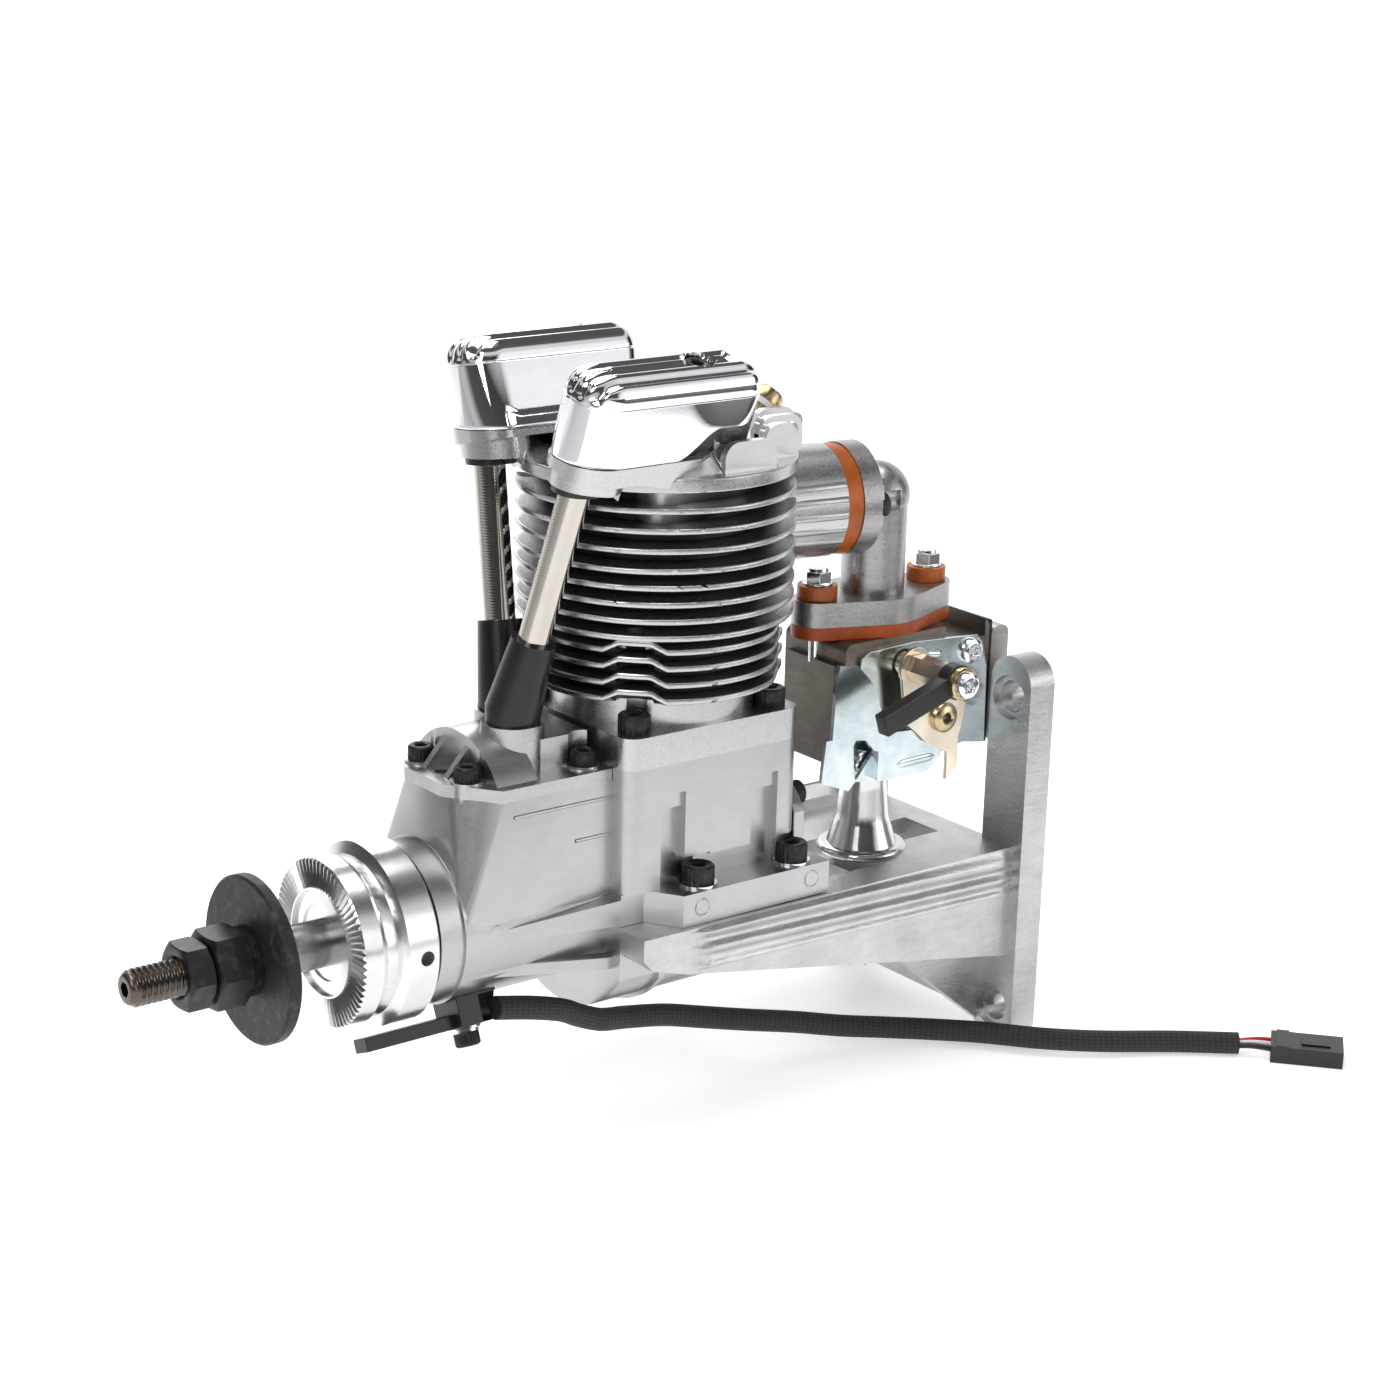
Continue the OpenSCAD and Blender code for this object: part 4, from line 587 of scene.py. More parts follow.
class ENGINE_OT_camera(bpy.types.Operator):
    """Places the camera where the photograph was taken from"""
    bl_idname = "engine.camera"
    bl_label = "Camera"

    def execute(self, context):
        a, p, r = (math.radians(v) for v in CAMERA_TURNS)
        across, drop, distance = ORIGIN_SEEN
        ahead = Vector((math.sin(a) * math.cos(p), math.cos(a) * math.cos(p), -math.sin(p)))
        level = Vector((math.cos(a), -math.sin(a), 0))
        down = ahead.cross(level)
        right = math.cos(r) * level + math.sin(r) * down
        low = -math.sin(r) * level + math.cos(r) * down
        place = -(across * right + drop * low + distance * ahead)
        data = bpy.data.cameras.new("photo_camera")
        data.sensor_width = 36
        data.lens = FOCAL_PIXELS * data.sensor_width / PHOTO_PIXELS
        data.clip_start, data.clip_end = 0.01, 20
        camera = bpy.data.objects.new("photo_camera", data)
        context.scene.collection.objects.link(camera)
        turn = Matrix((right, -low, -ahead)).transposed().to_4x4()
        camera.matrix_world = Matrix.Translation(at(*place)) @ turn
        context.scene.camera = camera
        return {"FINISHED"}


def tube_rings(path, radius, turn):
    """Rings of turn points round each point of a path, square to it."""
    angles = [2 * math.pi * k / turn for k in range(turn)]
    rings = []
    for i, point in enumerate(path):
        ahead = (path[min(i + 1, len(path) - 1)] - path[max(i - 1, 0)]).normalized()
        u = Vector((0, 0, 1)).cross(ahead).normalized()
        w = ahead.cross(u)
        rings.append([point + radius * (math.cos(a) * u + math.sin(a) * w) for a in angles])
    return rings


class ENGINE_OT_lead(bpy.types.Operator):
    """Lays the braided sensor lead, its three wires and its plug"""
    bl_idname = "engine.lead"
    bl_label = "Sensor lead"

    def execute(self, context):
        line = lead_points()
        radius = context.scene.engine_lead.diameter / 2
        lengths = [0.0]
        for a, b in zip(line, line[1:]):
            lengths.append(lengths[-1] + (b - a).length)
        sleeve = self.sleeve(line, lengths, radius)
        end, before = Vector(LEAD_ROUTE[-1]), Vector(LEAD_ROUTE[-2])
        along = Vector((end.x - before.x, end.y - before.y, 0)).normalized()
        facing = Matrix.Rotation(PLUG_TURN, 3, "Z") @ along
        across = Vector((-facing.y, facing.x, 0))
        seat = end + along * 7.7
        wires = self.wires(end, along, seat, facing, across)
        plug = self.plug(seat, facing, across)
        [plug] + wires
        return {"FINISHED"}

    def sleeve(self, line, lengths, radius):
        """The braided sleeve; its UV map runs along it in metres and once round it."""
        turn = 20
        bm = bmesh.new()
        rings = grid_piece(bm, tube_rings(line, radius * 0.985, turn), cap_start=True, cap_end=True)
        uv = bm.loops.layers.uv.new("along")
        where = {v: (lengths[i], k / turn) for i, ring in enumerate(rings) for k, v in enumerate(ring)}
        for face in bm.faces:
            ks = [where[l.vert][1] for l in face.loops]
            for loop in face.loops:
                s, k = where[loop.vert]
                loop[uv].uv = (s, 1.0 if k == 0 and max(ks) > 0.6 else k)
        sleeve = finish_piece("sensor_lead_sleeve", bm, "sleeve", "engine", 60)
        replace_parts(sleeve, "sensor_lead")
        return sleeve

    def wires(self, end, along, seat, facing, across):
        """The three wires between the sleeve and the plug."""
        made = []
        side = Vector((-along.y, along.x, 0))
        for colour, shift in (("wire_red", 1.5), ("wire_white", 0.0), ("wire_black", -1.5)):
            path = []
            for k in range(13):
                t = k / 12
                sag = Vector((0, 0, -0.3 + 0.5 * math.sin(t * 3.1)))
                middle = (end - along * 1.5) * (1 - t) + (seat + facing * 1.5) * t + sag
                path.append(middle + (side * (1 - t) + across * t) * shift * (0.75 + 0.9 * smooth(t)))
            rows = [[at(*q) for q in ring] for ring in tube_rings(path, 0.72, 12)]
            bm = bmesh.new()
            grid_piece(bm, rows, cap_start=True, cap_end=True)
            made.append(finish_piece("sensor_" + colour, bm, colour, "engine", 50))
        return made

    def plug(self, seat, facing, across):
        """The flat three-way plug, with its collar, its raised band and its three sockets."""
        bm = bmesh.new()

        def on_floor(a, b, c):
            q = seat + facing * a + across * b
            return (q.x, q.y, c)

        for start, stop, half, low, high in ((0.0, 16.6, 4.9, -50.95, -46.9), (1.2, 4.2, 4.95, -50.9, -46.56),
                                             (7.0, 13.6, 2.4, -47.0, -46.55)):
            outline = [(start, -half), (stop, -half), (stop, half), (start, half)]
            prism(bm, outline, low, high, on_floor)
        bevelled(bm, 0.35)
        for middle in (-2.54, 0, 2.54):
            low, high = middle - 0.7, middle + 0.7
            prism(bm, [(15.9, low), (16.62, low), (16.62, high), (15.9, high)], -49.4, -48.0, on_floor)
        plug = finish_piece("sensor_plug_shell", bm, "plastic", "engine", 35)
        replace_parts(plug, "lead_plug")
        return plug


class ENGINE_OT_stage(bpy.types.Operator):
    """Lays the pale floor and hangs the soft studio lights"""
    bl_idname = "engine.stage"
    bl_label = "Studio"

    def execute(self, context):
        settings = context.scene.engine_stage
        self.floor(context, settings.floor)
        self.lamps(context, settings.key)
        self.world(context)
        context.scene.view_settings.view_transform = "Standard"
        return {"FINISHED"}

    def floor(self, context, colour):
        """The floor, turned to the camera and swept up behind, dark on the left and on the right."""
        bm = bmesh.new()
        sweep = [(-1.6, 0.0), (0.9, 0.0)]
        for degrees in range(6, 91, 6):
            a = math.radians(degrees)
            sweep.append((0.9 + 0.6 * math.sin(a), 0.6 - 0.6 * math.cos(a)))
        sweep.append((1.5, 1.4))
        s, c = math.sin(FLOOR_TURN), math.cos(FLOOR_TURN)
        rows = [[(w * c + d * s, -w * s + d * c, h) for d, h in sweep] for w in (-2.2, 0, 2.2)]
        grid_piece(bm, rows, closed=False)
        for face in bm.faces:
            face.smooth = True
        mesh = bpy.data.meshes.new("studio_floor")
        bm.to_mesh(mesh)
        bm.free()
        floor = bpy.data.objects.new("studio_floor", mesh)
        floor.location = (0, 0, (FLOOR_Z - HOLE_MID_Z) / 1000)
        context.scene.collection.objects.link(floor)
        p = Paint("studio_floor", Roughness=0.6, Emission_Strength=0.45, Emission_Color=(1, 1, 1, 1))
        x, y, _ = p.parts()
        across = x * c - y * s
        along = x * s + y * c
        card = (across.span(0.26, 0.31) + (0 - across).span(0.34, 0.38) * 0.5) * (1 - along.span(0.1, 0.2))
        cloud = p.grain(4, 2)
        pale = p.blend(cloud, colour, [share * 0.985 for share in colour])
        p.feed("Base Color", p.blend(card, pale, (0.02, 0.02, 0.02)))
        p.feed("Emission Color", p.blend(card, (1, 1, 1), (0, 0, 0)))
        mesh.materials.append(p.material)

    def lamps(self, context, key):
        """Four soft lamps; their powers are shares of the main one's."""
        for name, place, size, power, target in (
                ("top", (-0.1, 0.1, 1.1), 0.9, key, (0, 0, 0)),
                ("key", (-0.75, -0.35, 0.55), 0.4, key * 0.3, (-0.08, 0, 0.03)),
                ("right", (0.62, -0.8, 0.16), 0.6, key * 0.24, (0, 0, 0.05)),
                ("back", (0.25, 0.8, 0.6), 0.5, key * 0.3, (0, 0, 0.05))):
            data = bpy.data.lights.new("soft_" + name, "AREA")
            data.size = size
            data.energy = power
            lamp = bpy.data.objects.new("soft_" + name, data)
            context.scene.collection.objects.link(lamp)
            lamp.location = place
            lamp.rotation_mode = "QUATERNION"
            lamp.rotation_quaternion = (Vector(target) - Vector(place)).to_track_quat("-Z", "Y")

    def world(self, context):
        """Bands of light by height, and on the right a white card with a dark one behind it."""
        sky = Paint("studio_world", "worlds", Strength=1.0)
        way = sky.node("ShaderNodeTexCoord", {}, {}, "Generated")
        x, y, up = sky.parts(way)
        stops = [(0.0, 0.5), (0.1, 0.08), (0.42, 0.05), (0.5, 0.5),
                 (0.62, 0.75), (0.7, 0.1), (0.85, 0.08), (1.0, 0.6)]
        ramp = [(place, (grey, grey, grey * 1.01)) for place, grey in stops]
        light = sky.node("ShaderNodeValToRGB", {"stops": ramp}, {0: up})
        flag = (x * 0.93 - y * 0.37).span(0.86, 0.95) * (1 - up.abs().span(0.5, 0.8))
        front_card = (x * 0.6 - y * 0.8).span(0.8, 0.9) * (up + 0.2).span(0, 0.1) * (1 - up.span(0.5, 0.6))
        light = sky.blend(front_card, light, (0.95, 0.95, 0.96))
        sky.feed("Color", sky.blend(flag * 0.8, light, (0.01, 0.01, 0.01)))
        context.scene.world = sky.material


def fin_rise(turn):
    """How far the lowest fins arch over a base screw, turn degrees from the screw."""
    return 1.9 * smooth((15 - abs(turn)) / 9)


def fin_rims(bm):
    """The round upper and lower edges of the fins."""
    rims = []
    for edge in bm.edges:
        (ax, ay, az), (bx, by, bz) = (in_drawing(v.co) for v in edge.verts)
        ra, rb = math.hypot(ax, ay), math.hypot(bx, by)
        level = abs(az - bz) < 0.01 and az < DECK_Z + 0.1
        if level and any(abs(ra - r) < 0.06 and abs(rb - r) < 0.06 for r in (FIN_LOW_R, FIN_TOP_R)):
            rims.append(edge)
    return rims


def seated_box(side, lx, ly, lz):
    """Where a point of a rocker box goes, so that the box ends at the slanting seam and boss."""
    outward = ly * side
    if lz < 59.9:
        lift = (BOSS_LIFT + BOSS_SLOPE * outward) * smooth((lz - 53) / 2.2)
    else:
        lift = (seam_height(outward) - CAD_SEAM) * smooth((lz - 59) / 4) + 1.4 * (1 - smooth((lz - 61) / 2))
    lx += 4.0 * smooth((-26 - lx) / 12) - 5.6 * smooth((lx + 8) / 18) * smooth((lz - 59) / 4)
    if outward > 6:
        ly -= side * 3.4 * smooth((lx + 10) / 8)
    return on_lean(side, lx, ly, lz + lift)


def shape_cylinder(bm):
    """Rounds the fins, arches the lowest ones, seats the rocker boxes and sinks the square plates."""
    for cut in (-24, -14, -9, -5, 1):
        bmesh.ops.bisect_plane(bm, geom=bm.verts[:] + bm.edges[:] + bm.faces[:], dist=1e-7,
                               plane_co=at(cut, 0, 0), plane_no=(1, 0, 0))
    bmesh.ops.bevel(bm, geom=fin_rims(bm), offset=0.0004, segments=3, affect="EDGES",
                    profile=0.5, clamp_overlap=False)
    for v in bm.verts:
        x, y, z = in_drawing(v.co)
        r = math.hypot(x, y)
        if ARCH_LOW < z < ARCH_HIGH and r > ARCH_R:
            z += fin_rise(math.degrees(math.atan2(abs(y), abs(x))) - 45)
        if z > SQUARE_PLATE_TOP:
            z = SUNK_TOP
        side = 1 if y > 0 else -1
        lx, ly, lz = off_lean(side, x, y, z)
        on_fin = abs(r - FIN_TOP_R) < 0.5 and z < DECK_Z + 0.15
        on_deck = abs(z - DECK_Z) < 0.06 and lx > -22
        in_box = abs(ly) < 9.9 and -42.5 < lx < 12 and lz > (53 if lx < -22 else 59.5)
        if in_box and not on_fin and not on_deck:
            x, y, z = seated_box(side, lx, ly, lz)
        v.co = at(x, y, z)


def reach_up(bm):
    """Draws the upper ends of tubes and seals up to the raised front bosses."""
    for v in bm.verts:
        x, y, z = in_drawing(v.co)
        side = 1 if y > 0 else -1
        lx, ly, lz = off_lean(side, x, y, z)
        if lz > 50:
            v.co = at(*on_lean(side, lx, ly, lz + BOSS_LIFT + BOSS_SLOPE * ly * side))


class ENGINE_OT_castings(bpy.types.Operator):
    """Finishes the crankcase, housing, covers, cylinder, elbow and mount"""
    bl_idname = "engine.castings"
    bl_label = "Castings"

    def execute(self, context):
        dress("crankcase", "cast", 0.45)
        dress("front_housing", "cast", 0.3)
        dress("rear_cover", "cast", 0.3)
        dress("cam_cover", "cast_fine", 0.3)
        dress("cylinder", "cylinder", shape=shape_cylinder)
        self.fin_arches()
        self.head_plates()
        self.mount_relief()
        self.ejector_marks()
        dress("intake_elbow", "elbow", 0.3)
        dress("engine_mount", "mount", 0.8)
        self.housing_lines()
        self.port_ribs()
        return {"FINISHED"}

    def fin_arches(self):
        """Closes the four lowest fins over the base screws."""
        bm = bmesh.new()
        section = [(22.3, 1.31), (27.5, 1.31), (27.85, 1.2), (28.03, 0.9), (28.03, 0.4), (27.85, 0.1),
                   (27.5, -0.01), (22.3, -0.01)]
        for fin in range(4):
            low = 45.4 + 3.57 * fin
            for corner in (45, 135, 225, 315):
                rows = []
                for k in range(25):
                    turn = -11.5 + 23 * k / 24
                    a = math.radians(corner + turn)
                    rise = low + fin_rise(turn)
                    rows.append([at(r * math.cos(a), r * math.sin(a), rise + d) for r, d in section])
                grid_piece(bm, rows, cap_start=True, cap_end=True)
        finish_piece("fin_arches", bm, "cylinder", "engine", 40)

    def head_plates(self):
        """The upright plates on the head, with rounded upper corners, stepping back beside each cover."""
        bm = bmesh.new()
        for y, x0, x1, top in HEAD_PLATES:
            outline = [(x0, 93.2)]
            for cx, start in ((x0 + PLATE_CORNER, 180), (x1 - PLATE_CORNER, 90)):
                for t in range(0, 91, 10):
                    a = math.radians(start - t)
                    outline.append((cx + PLATE_CORNER * math.cos(a), top + PLATE_CORNER * (math.sin(a) - 1)))
            outline.append((x1, 93.2))
            prism(bm, outline, y - 0.9, y + 0.9, lambda a, b, c: (a, c, b))
        bevelled(bm, 0.45, 60, 3)
        # the plates' light paint is a painted highlight
        finish_piece("head_plates", bm, "lit_head_plates", "engine", 50)

    def mount_relief(self):
        """Raises the two lengthwise ridges and the band on the outer face of each mount arm."""
        for side, tag in ((-1, "near"), (1, "far")):
            bm = bmesh.new()
            rows = []
            for i in range(61):
                x = -12 + 94.5 * i / 60
                s = (x + 8) / 91
                knots = [(-2.95, 0.0), (-3.8 - 3.0 * s * s, 1.5), (-5.9 - 2.6 * s, 0.2), (-7.8 - 2.5 * s, 1.5),
                         (-9.9 - 2.5 * s, 0.3), (-11.9 - 1.9 * s, 1.1), (-12.9 - 1.4 * s, -0.06)]
                fade = smooth((x + 12) / 6) * (1 - smooth((x - 78) / 4.5))
                row = []
                for (z0, h0), (z1, h1) in zip(knots, knots[1:]):
                    for k in range(7):
                        t = k / 7
                        height = (h0 + (h1 - h0) * smooth(t)) * fade
                        row.append(at(x, side * (30.97 + height), z0 + (z1 - z0) * t))
                row.append(at(x, side * 30.94, knots[-1][0]))
                rows.append(row)
            grid_piece(bm, rows, closed=False)
            finish_piece("mount_relief_" + tag, bm, "mount", "engine", 50)

    def ejector_marks(self):
        """Leaves the round marks of the ejector pins on the castings' near faces."""
        bm = bmesh.new()
        for x, y, z, r in ((-7.5, -29.5, 0.9, 1.9), (22.7, -29.5, 1.1, 1.9), (-52.5, -18.0, 1.0, 1.7)):
            lathe(bm, [(r + 0.15, -0.03), (r + 0.05, 0.2), (r - 0.15, 0.2), (r - 0.28, 0.05), (0.01, 0.05)],
                  (x, y, z), (0, -1, 0), 40)
        finish_piece("ejector_marks", bm, "cast_fine", "engine", 40)

    def housing_lines(self):
        """The two raised lines on each side of the front housing."""
        for side, tag in ((-1, "near"), (1, "far")):
            bm = bmesh.new()
            for z, x0 in ((25.5, -48.3), (17.4, -32.8)):
                rows = []
                for k in range(7):
                    a = math.pi * k / 6
                    rows.append([at(x, side * (17.9 + 0.42 * math.sin(a)), z + 0.42 * math.cos(a))
                                 for x in (x0, x0 + 0.6, -23.5)])
                grid_piece(bm, rows, closed=False)
            finish_piece("housing_lines_" + tag, bm, "cast", "engine", 60)

    def port_ribs(self):
        """Low ribs along the near side of the intake port."""
        bm = bmesh.new()
        c, s = math.cos(PORT_TURN), math.sin(PORT_TURN)
        for k in range(-2, 3):
            a = math.radians(k * 15 - 4)
            rows = []
            for t, lift in ((25.0, 0.0), (30.0, 0.3), (40.2, 0.62), (40.9, 0.3)):
                row = []
                for w in (-0.075, -0.05, -0.02, 0.02, 0.05, 0.075):
                    r = 12.6 + lift * (1 - (abs(w) / 0.075) ** 2) - 0.05
                    ly, lz = -r * math.cos(a + w), r * math.sin(a + w)
                    row.append(at(t * c + ly * s, ly * c - t * s, PORT_Z + lz))
                rows.append(row)
            grid_piece(bm, rows, closed=False)
        finish_piece("port_ribs", bm, "cast", "engine", 50)


def cover_outline(inset, x_inset, flare, corner, count=26):
    """Points round the cover's oblong, starting at the middle of the rear end."""
    half = max(COVER_HALF - inset, 0.02)
    x0, x1 = COVER_FRONT - 1.2 * flare + x_inset, COVER_REAR + 3.1 * flare - x_inset
    points = []
    ends = ((x1, 1, 0, False), (x0, 1, 90, True), (x0, -1, 180, True), (x1, -1, 270, False))
    for cx, sign_y, start, front in ends:
        r = min(max((8.6 if front else corner) - inset, 0.01), half)
        px = cx + r if front else cx - r
        for k in range(count + 1):
            a = math.radians(start + 90 * k / count)
            points.append((px + r * math.cos(a), sign_y * (half - r) + r * math.sin(a)))
        if start in (0, 180):
            far_r = min(max((8.6 if start == 0 else corner) - inset, 0.01), half)
            x_from, x_to = px, (x0 + far_r if start == 0 else x1 - far_r)
            for k in range(1, 50):
                points.append((x_from + (x_to - x_from) * k / 50, sign_y * half))
    return points


class ENGINE_OT_rocker_covers(bpy.types.Operator):
    """Forms the two chrome rocker covers with their grooved tops"""
    bl_idname = "engine.rocker_covers"
    bl_label = "Rocker covers"

    def execute(self, context):
        settings = context.scene.engine_cover
        for side, node in ((-1, "intake_rocker_cover"), (1, "exhaust_rocker_cover")):
            self.cover(side, node, settings.groove, settings.pitch)
        return {"FINISHED"}

    def levels(self):
        """Rings of the cover from seam to crown: share of the wall, height above its line, inset."""
        rings = [(0.0, 0.0, 0.15), (0.02, 0.0, 0.0)]
        rings += [(k / 14, 0.0, 1.25 * (k / 14) ** 1.3) for k in range(1, 15)]
        rings += [(1.0, 0.05, 1.4), (1.0, 0.22, 1.6), (1.0, 0.45, 1.6), (1.0, 0.6, 1.4)]
        for k in range(1, 49):
            a = math.pi / 2 * k / 48
            rings.append((1.0, 0.6 + 5.9 * math.sin(a) ** 0.8, 1.4 + 8.0 * (1 - math.cos(a) ** 0.8)))
        return rings

    def cover(self, side, node, depth, pitch):
        """One cover: its shell, and the dark box wall behind its cut-away."""
        bm = bmesh.new()
        rows = []
        for wall, rise, inset in self.levels():
            row = []
            for x, y in cover_outline(inset, inset * 1.05, wall, 6.2):
                outward = y * side
                low, line = seam_height(outward) + 0.1, COVER_LINE + 0.058 * outward
                z = low + (line - low) * wall + rise
                groove = (0.5 - 0.5 * math.cos(2 * math.pi * y / pitch)) ** 1.5
                reach = 1 - smooth((abs(y) - 2.05 * pitch) / 0.5)
                z -= depth * groove * reach * smooth((rise - 1.6) / 2.6)
                front = smooth((COVER_FRONT + 8 - x) / 6) * smooth((rise - 0.7) / 1.2)
                front *= 1 - smooth((rise - 2.6) / 3.0)
                x += depth * 0.9 * groove * front * reach
                away = math.hypot(x - COVER_SCREW_X, y)
                if rise > 1.0:
                    z += (min(z, COVER_SCREW_Z - 0.1) - z) * (1 - smooth((away - 3.3) / 0.4))
                if wall < 1.0 and outward > 3.0:
                    cut = 6.4 * smooth((x + 15.2) / 9.5) * smooth((outward - 3.0) / 4.5)
                    z = low + cut + (line - low - cut) * (z - low) / (line - low)
                row.append(at(*on_lean(side, x, y, z)))
            rows.append(row)
        grid_piece(bm, rows)
        bmesh.ops.remove_doubles(bm, verts=bm.verts[:], dist=3e-6)
        cover = finish_piece(node + "_shell", bm, "chrome", "engine", 50)
        bm = bmesh.new()

        def lean_place(a, b, c):
            return on_lean(side, a, c, CAD_SEAM + b)

        y0, y1 = (5.2, 6.0) if side > 0 else (-6.0, -5.2)
        prism(bm, [(-16, 0.1), (4.4, 0.1), (5.4, 10.5), (-16, 10.5)], y0, y1, lean_place)
        finish_piece(node + "_inner", bm, "dark_steel", "engine", 40)
        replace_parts(cover, node)


class ENGINE_OT_screws(bpy.types.Operator):
    """Makes the socket-head and cross-recess screws"""
    bl_idname = "engine.screws"
    bl_label = "Screws"

    def execute(self, context):
        up, back = (0, 0, 1), (1, 0, 0)
        top_of_case = ((-53.8, -8.8), (-53.8, 8.8), (-27.4, -12.8), (-27.4, 12.8))
        sets = {
            "mount_screws": [((x, y, 5.0), up, 3.5, 4.0) for x in (-5.4, 20.4) for y in (-25, 25)],
            "cylinder_screws": [((x, y, 39.0), up, 3.5, 4.0) for x in (-18.2, 18.2) for y in (-18.2, 18.2)],
            "case_screws": [((x, y, 32.2), up, 2.75, 3.0) for x, y in top_of_case],
            "rocker_cover_screws": [],
            "elbow_screws": [],
        }
        sets["case_screws"] += [((26.5, y, z), back, 2.75, 3.0)
                                for y in (-16.3, 16.3) for z in (-16.3, 16.3)]
        for side in (-1, 1):
            axis = Vector(on_lean(side, 0, 0, 1)) - Vector(on_lean(side, 0, 0, 0))
            seat = on_lean(side, COVER_SCREW_X, 0, COVER_SCREW_Z)
            sets["rocker_cover_screws"].append((seat, axis, 2.75, 2.7))
        c, s = math.cos(PORT_TURN), math.sin(PORT_TURN)
        for degrees in (30, 150, 270):
            a = math.radians(degrees)
            t, ly, lz = 49.6, PORT_BOLT_R * math.sin(a), -PORT_BOLT_R * math.cos(a)
            place = (t * c + ly * s, ly * c - t * s, PORT_Z + lz)
            sets["elbow_screws"].append((place, (c, -s, 0), 2.75, 2.6))
        for node, screws in sets.items():
            bm = bmesh.new()
            for origin, axis, radius, height in screws:
                cap_screw(bm, origin, axis, radius, height)
            heads = finish_piece(node + "_heads", bm, "black", "engine", 34)
            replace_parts(heads, node)
        bm = bmesh.new()
        for x, z in ((75.4, 42.8), (44.1, 21.4)):
            pan_screw(bm, (x, NEAR_FACE - 1.0, z), (0, -1, 0), 3.0, 1.5)
        heads = finish_piece("bracket_screw_heads", bm, "bright", "engine", 34)
        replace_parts(heads, "bracket_screws")
        return {"FINISHED"}


class ENGINE_OT_drive(bpy.types.Operator):
    """Finishes the propeller drive: hub, washer, nuts and the threaded shaft"""
    bl_idname = "engine.drive"
    bl_label = "Propeller drive"

    def execute(self, context):
        dress("drive_hub", "turned")
        dress("prop_washer", "washer_black")
        self.nut("prop_nut", -102.9, -110.6, 15.0, 7.3)
        self.nut("lock_nut", -110.9, -116.6, 12.9, 0.0)
        dress("trigger_magnet", "dark_steel")
        dress("crank_gear", "dark_steel")
        self.shaft()
        return {"FINISHED"}

    def nut(self, node, seat, front, flats, collar):
        """A chamfered hexagon nut, with a round collar down to the washer where collar is its radius."""
        turn, half = 96, flats / 2

        def ring(x, radius, hexed=0.0):
            row = []
            for k in range(turn):
                a = 2 * math.pi * k / turn
                r, back = radius, 0.0
                if hexed:
                    r = hexagon(half, a)
                    back = (r - half * 0.965) * 0.58 * hexed
                row.append(at(x + back, r * math.cos(a), r * math.sin(a)))
            return row

        rows = [ring(front + 2.5, 4.03), ring(front + 0.6, 4.03), ring(front + 0.05, 4.6),
                ring(front, 4.75), ring(front, half * 0.95), ring(front + 0.02, half * 0.965),
                ring(front, 0, 1.0), ring(seat, 0, -1.0), ring(seat - 0.02, half * 0.965)]
        if collar:
            rows += [ring(seat, collar * 0.94), ring(seat + 0.05, collar),
                     ring(THREAD_END - 0.1, collar), ring(THREAD_END - 0.05, 5.2)]
        else:
            rows += [ring(seat, half * 0.95), ring(seat, 4.2)]
        bm = bmesh.new()
        grid_piece(bm, rows)
        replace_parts(finish_piece(node + "_finish", bm, "black", "crank", 24), node)

    def shaft(self):
        """The ground shaft behind, and in front a cut thread in place of the plain one."""
        bm = bmesh.new()
        bm.from_mesh(frame["nodes"]["crankshaft"].data)
        bmesh.ops.remove_doubles(bm, verts=bm.verts[:], dist=2e-6)
        tip = []
        for v in bm.verts:
            x, y, z = in_drawing(v.co)
            if x < THREAD_END + 3.5 and math.hypot(y, z) < 4.05:
                tip.append(v)
        bmesh.ops.delete(bm, geom=tip, context="VERTS")
        body = finish_piece("shaft_body", bm, "shaft", "crank", 30)
        turn, step = 48, 0.125
        angles = [2 * math.pi * k / turn for k in range(turn)]
        start = THREAD_TIP
        rows = []
        for i in range(int((THREAD_END + 3.0 - start - 1.2) / step) + 1):
            x = start + 1.2 + i * step
            row = []
            for k, a in enumerate(angles):
                phase = ((x - start) / THREAD_PITCH + k / turn) % 1.0
                r = 3.99 - 0.78 * (1 - abs(2 * phase - 1)) ** 0.9
                r = min(r, 2.95 + (x - start) * 0.9)
                row.append(at(x, r * math.cos(a), r * math.sin(a)))
            rows.append(row)
        face = [[at(start + d, r * math.cos(a), r * math.sin(a)) for a in angles]
                for r, d in ((2.2, 0.0), (2.9, 0.02), (3.3, 0.5))]
        socket = []
        for d in (2.6, 0.0):
            reach = [hexagon(1.7 * math.cos(math.pi / 6), a) for a in angles]
            socket.append([at(start + d, r * math.cos(a), r * math.sin(a)) for r, a in zip(reach, angles)])
        bm = bmesh.new()
        grid_piece(bm, socket + face + rows, cap_start=True, cap_end=True)
        finish_piece("shaft_thread", bm, "thread", "crank", 75)
        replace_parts(body, "crankshaft")


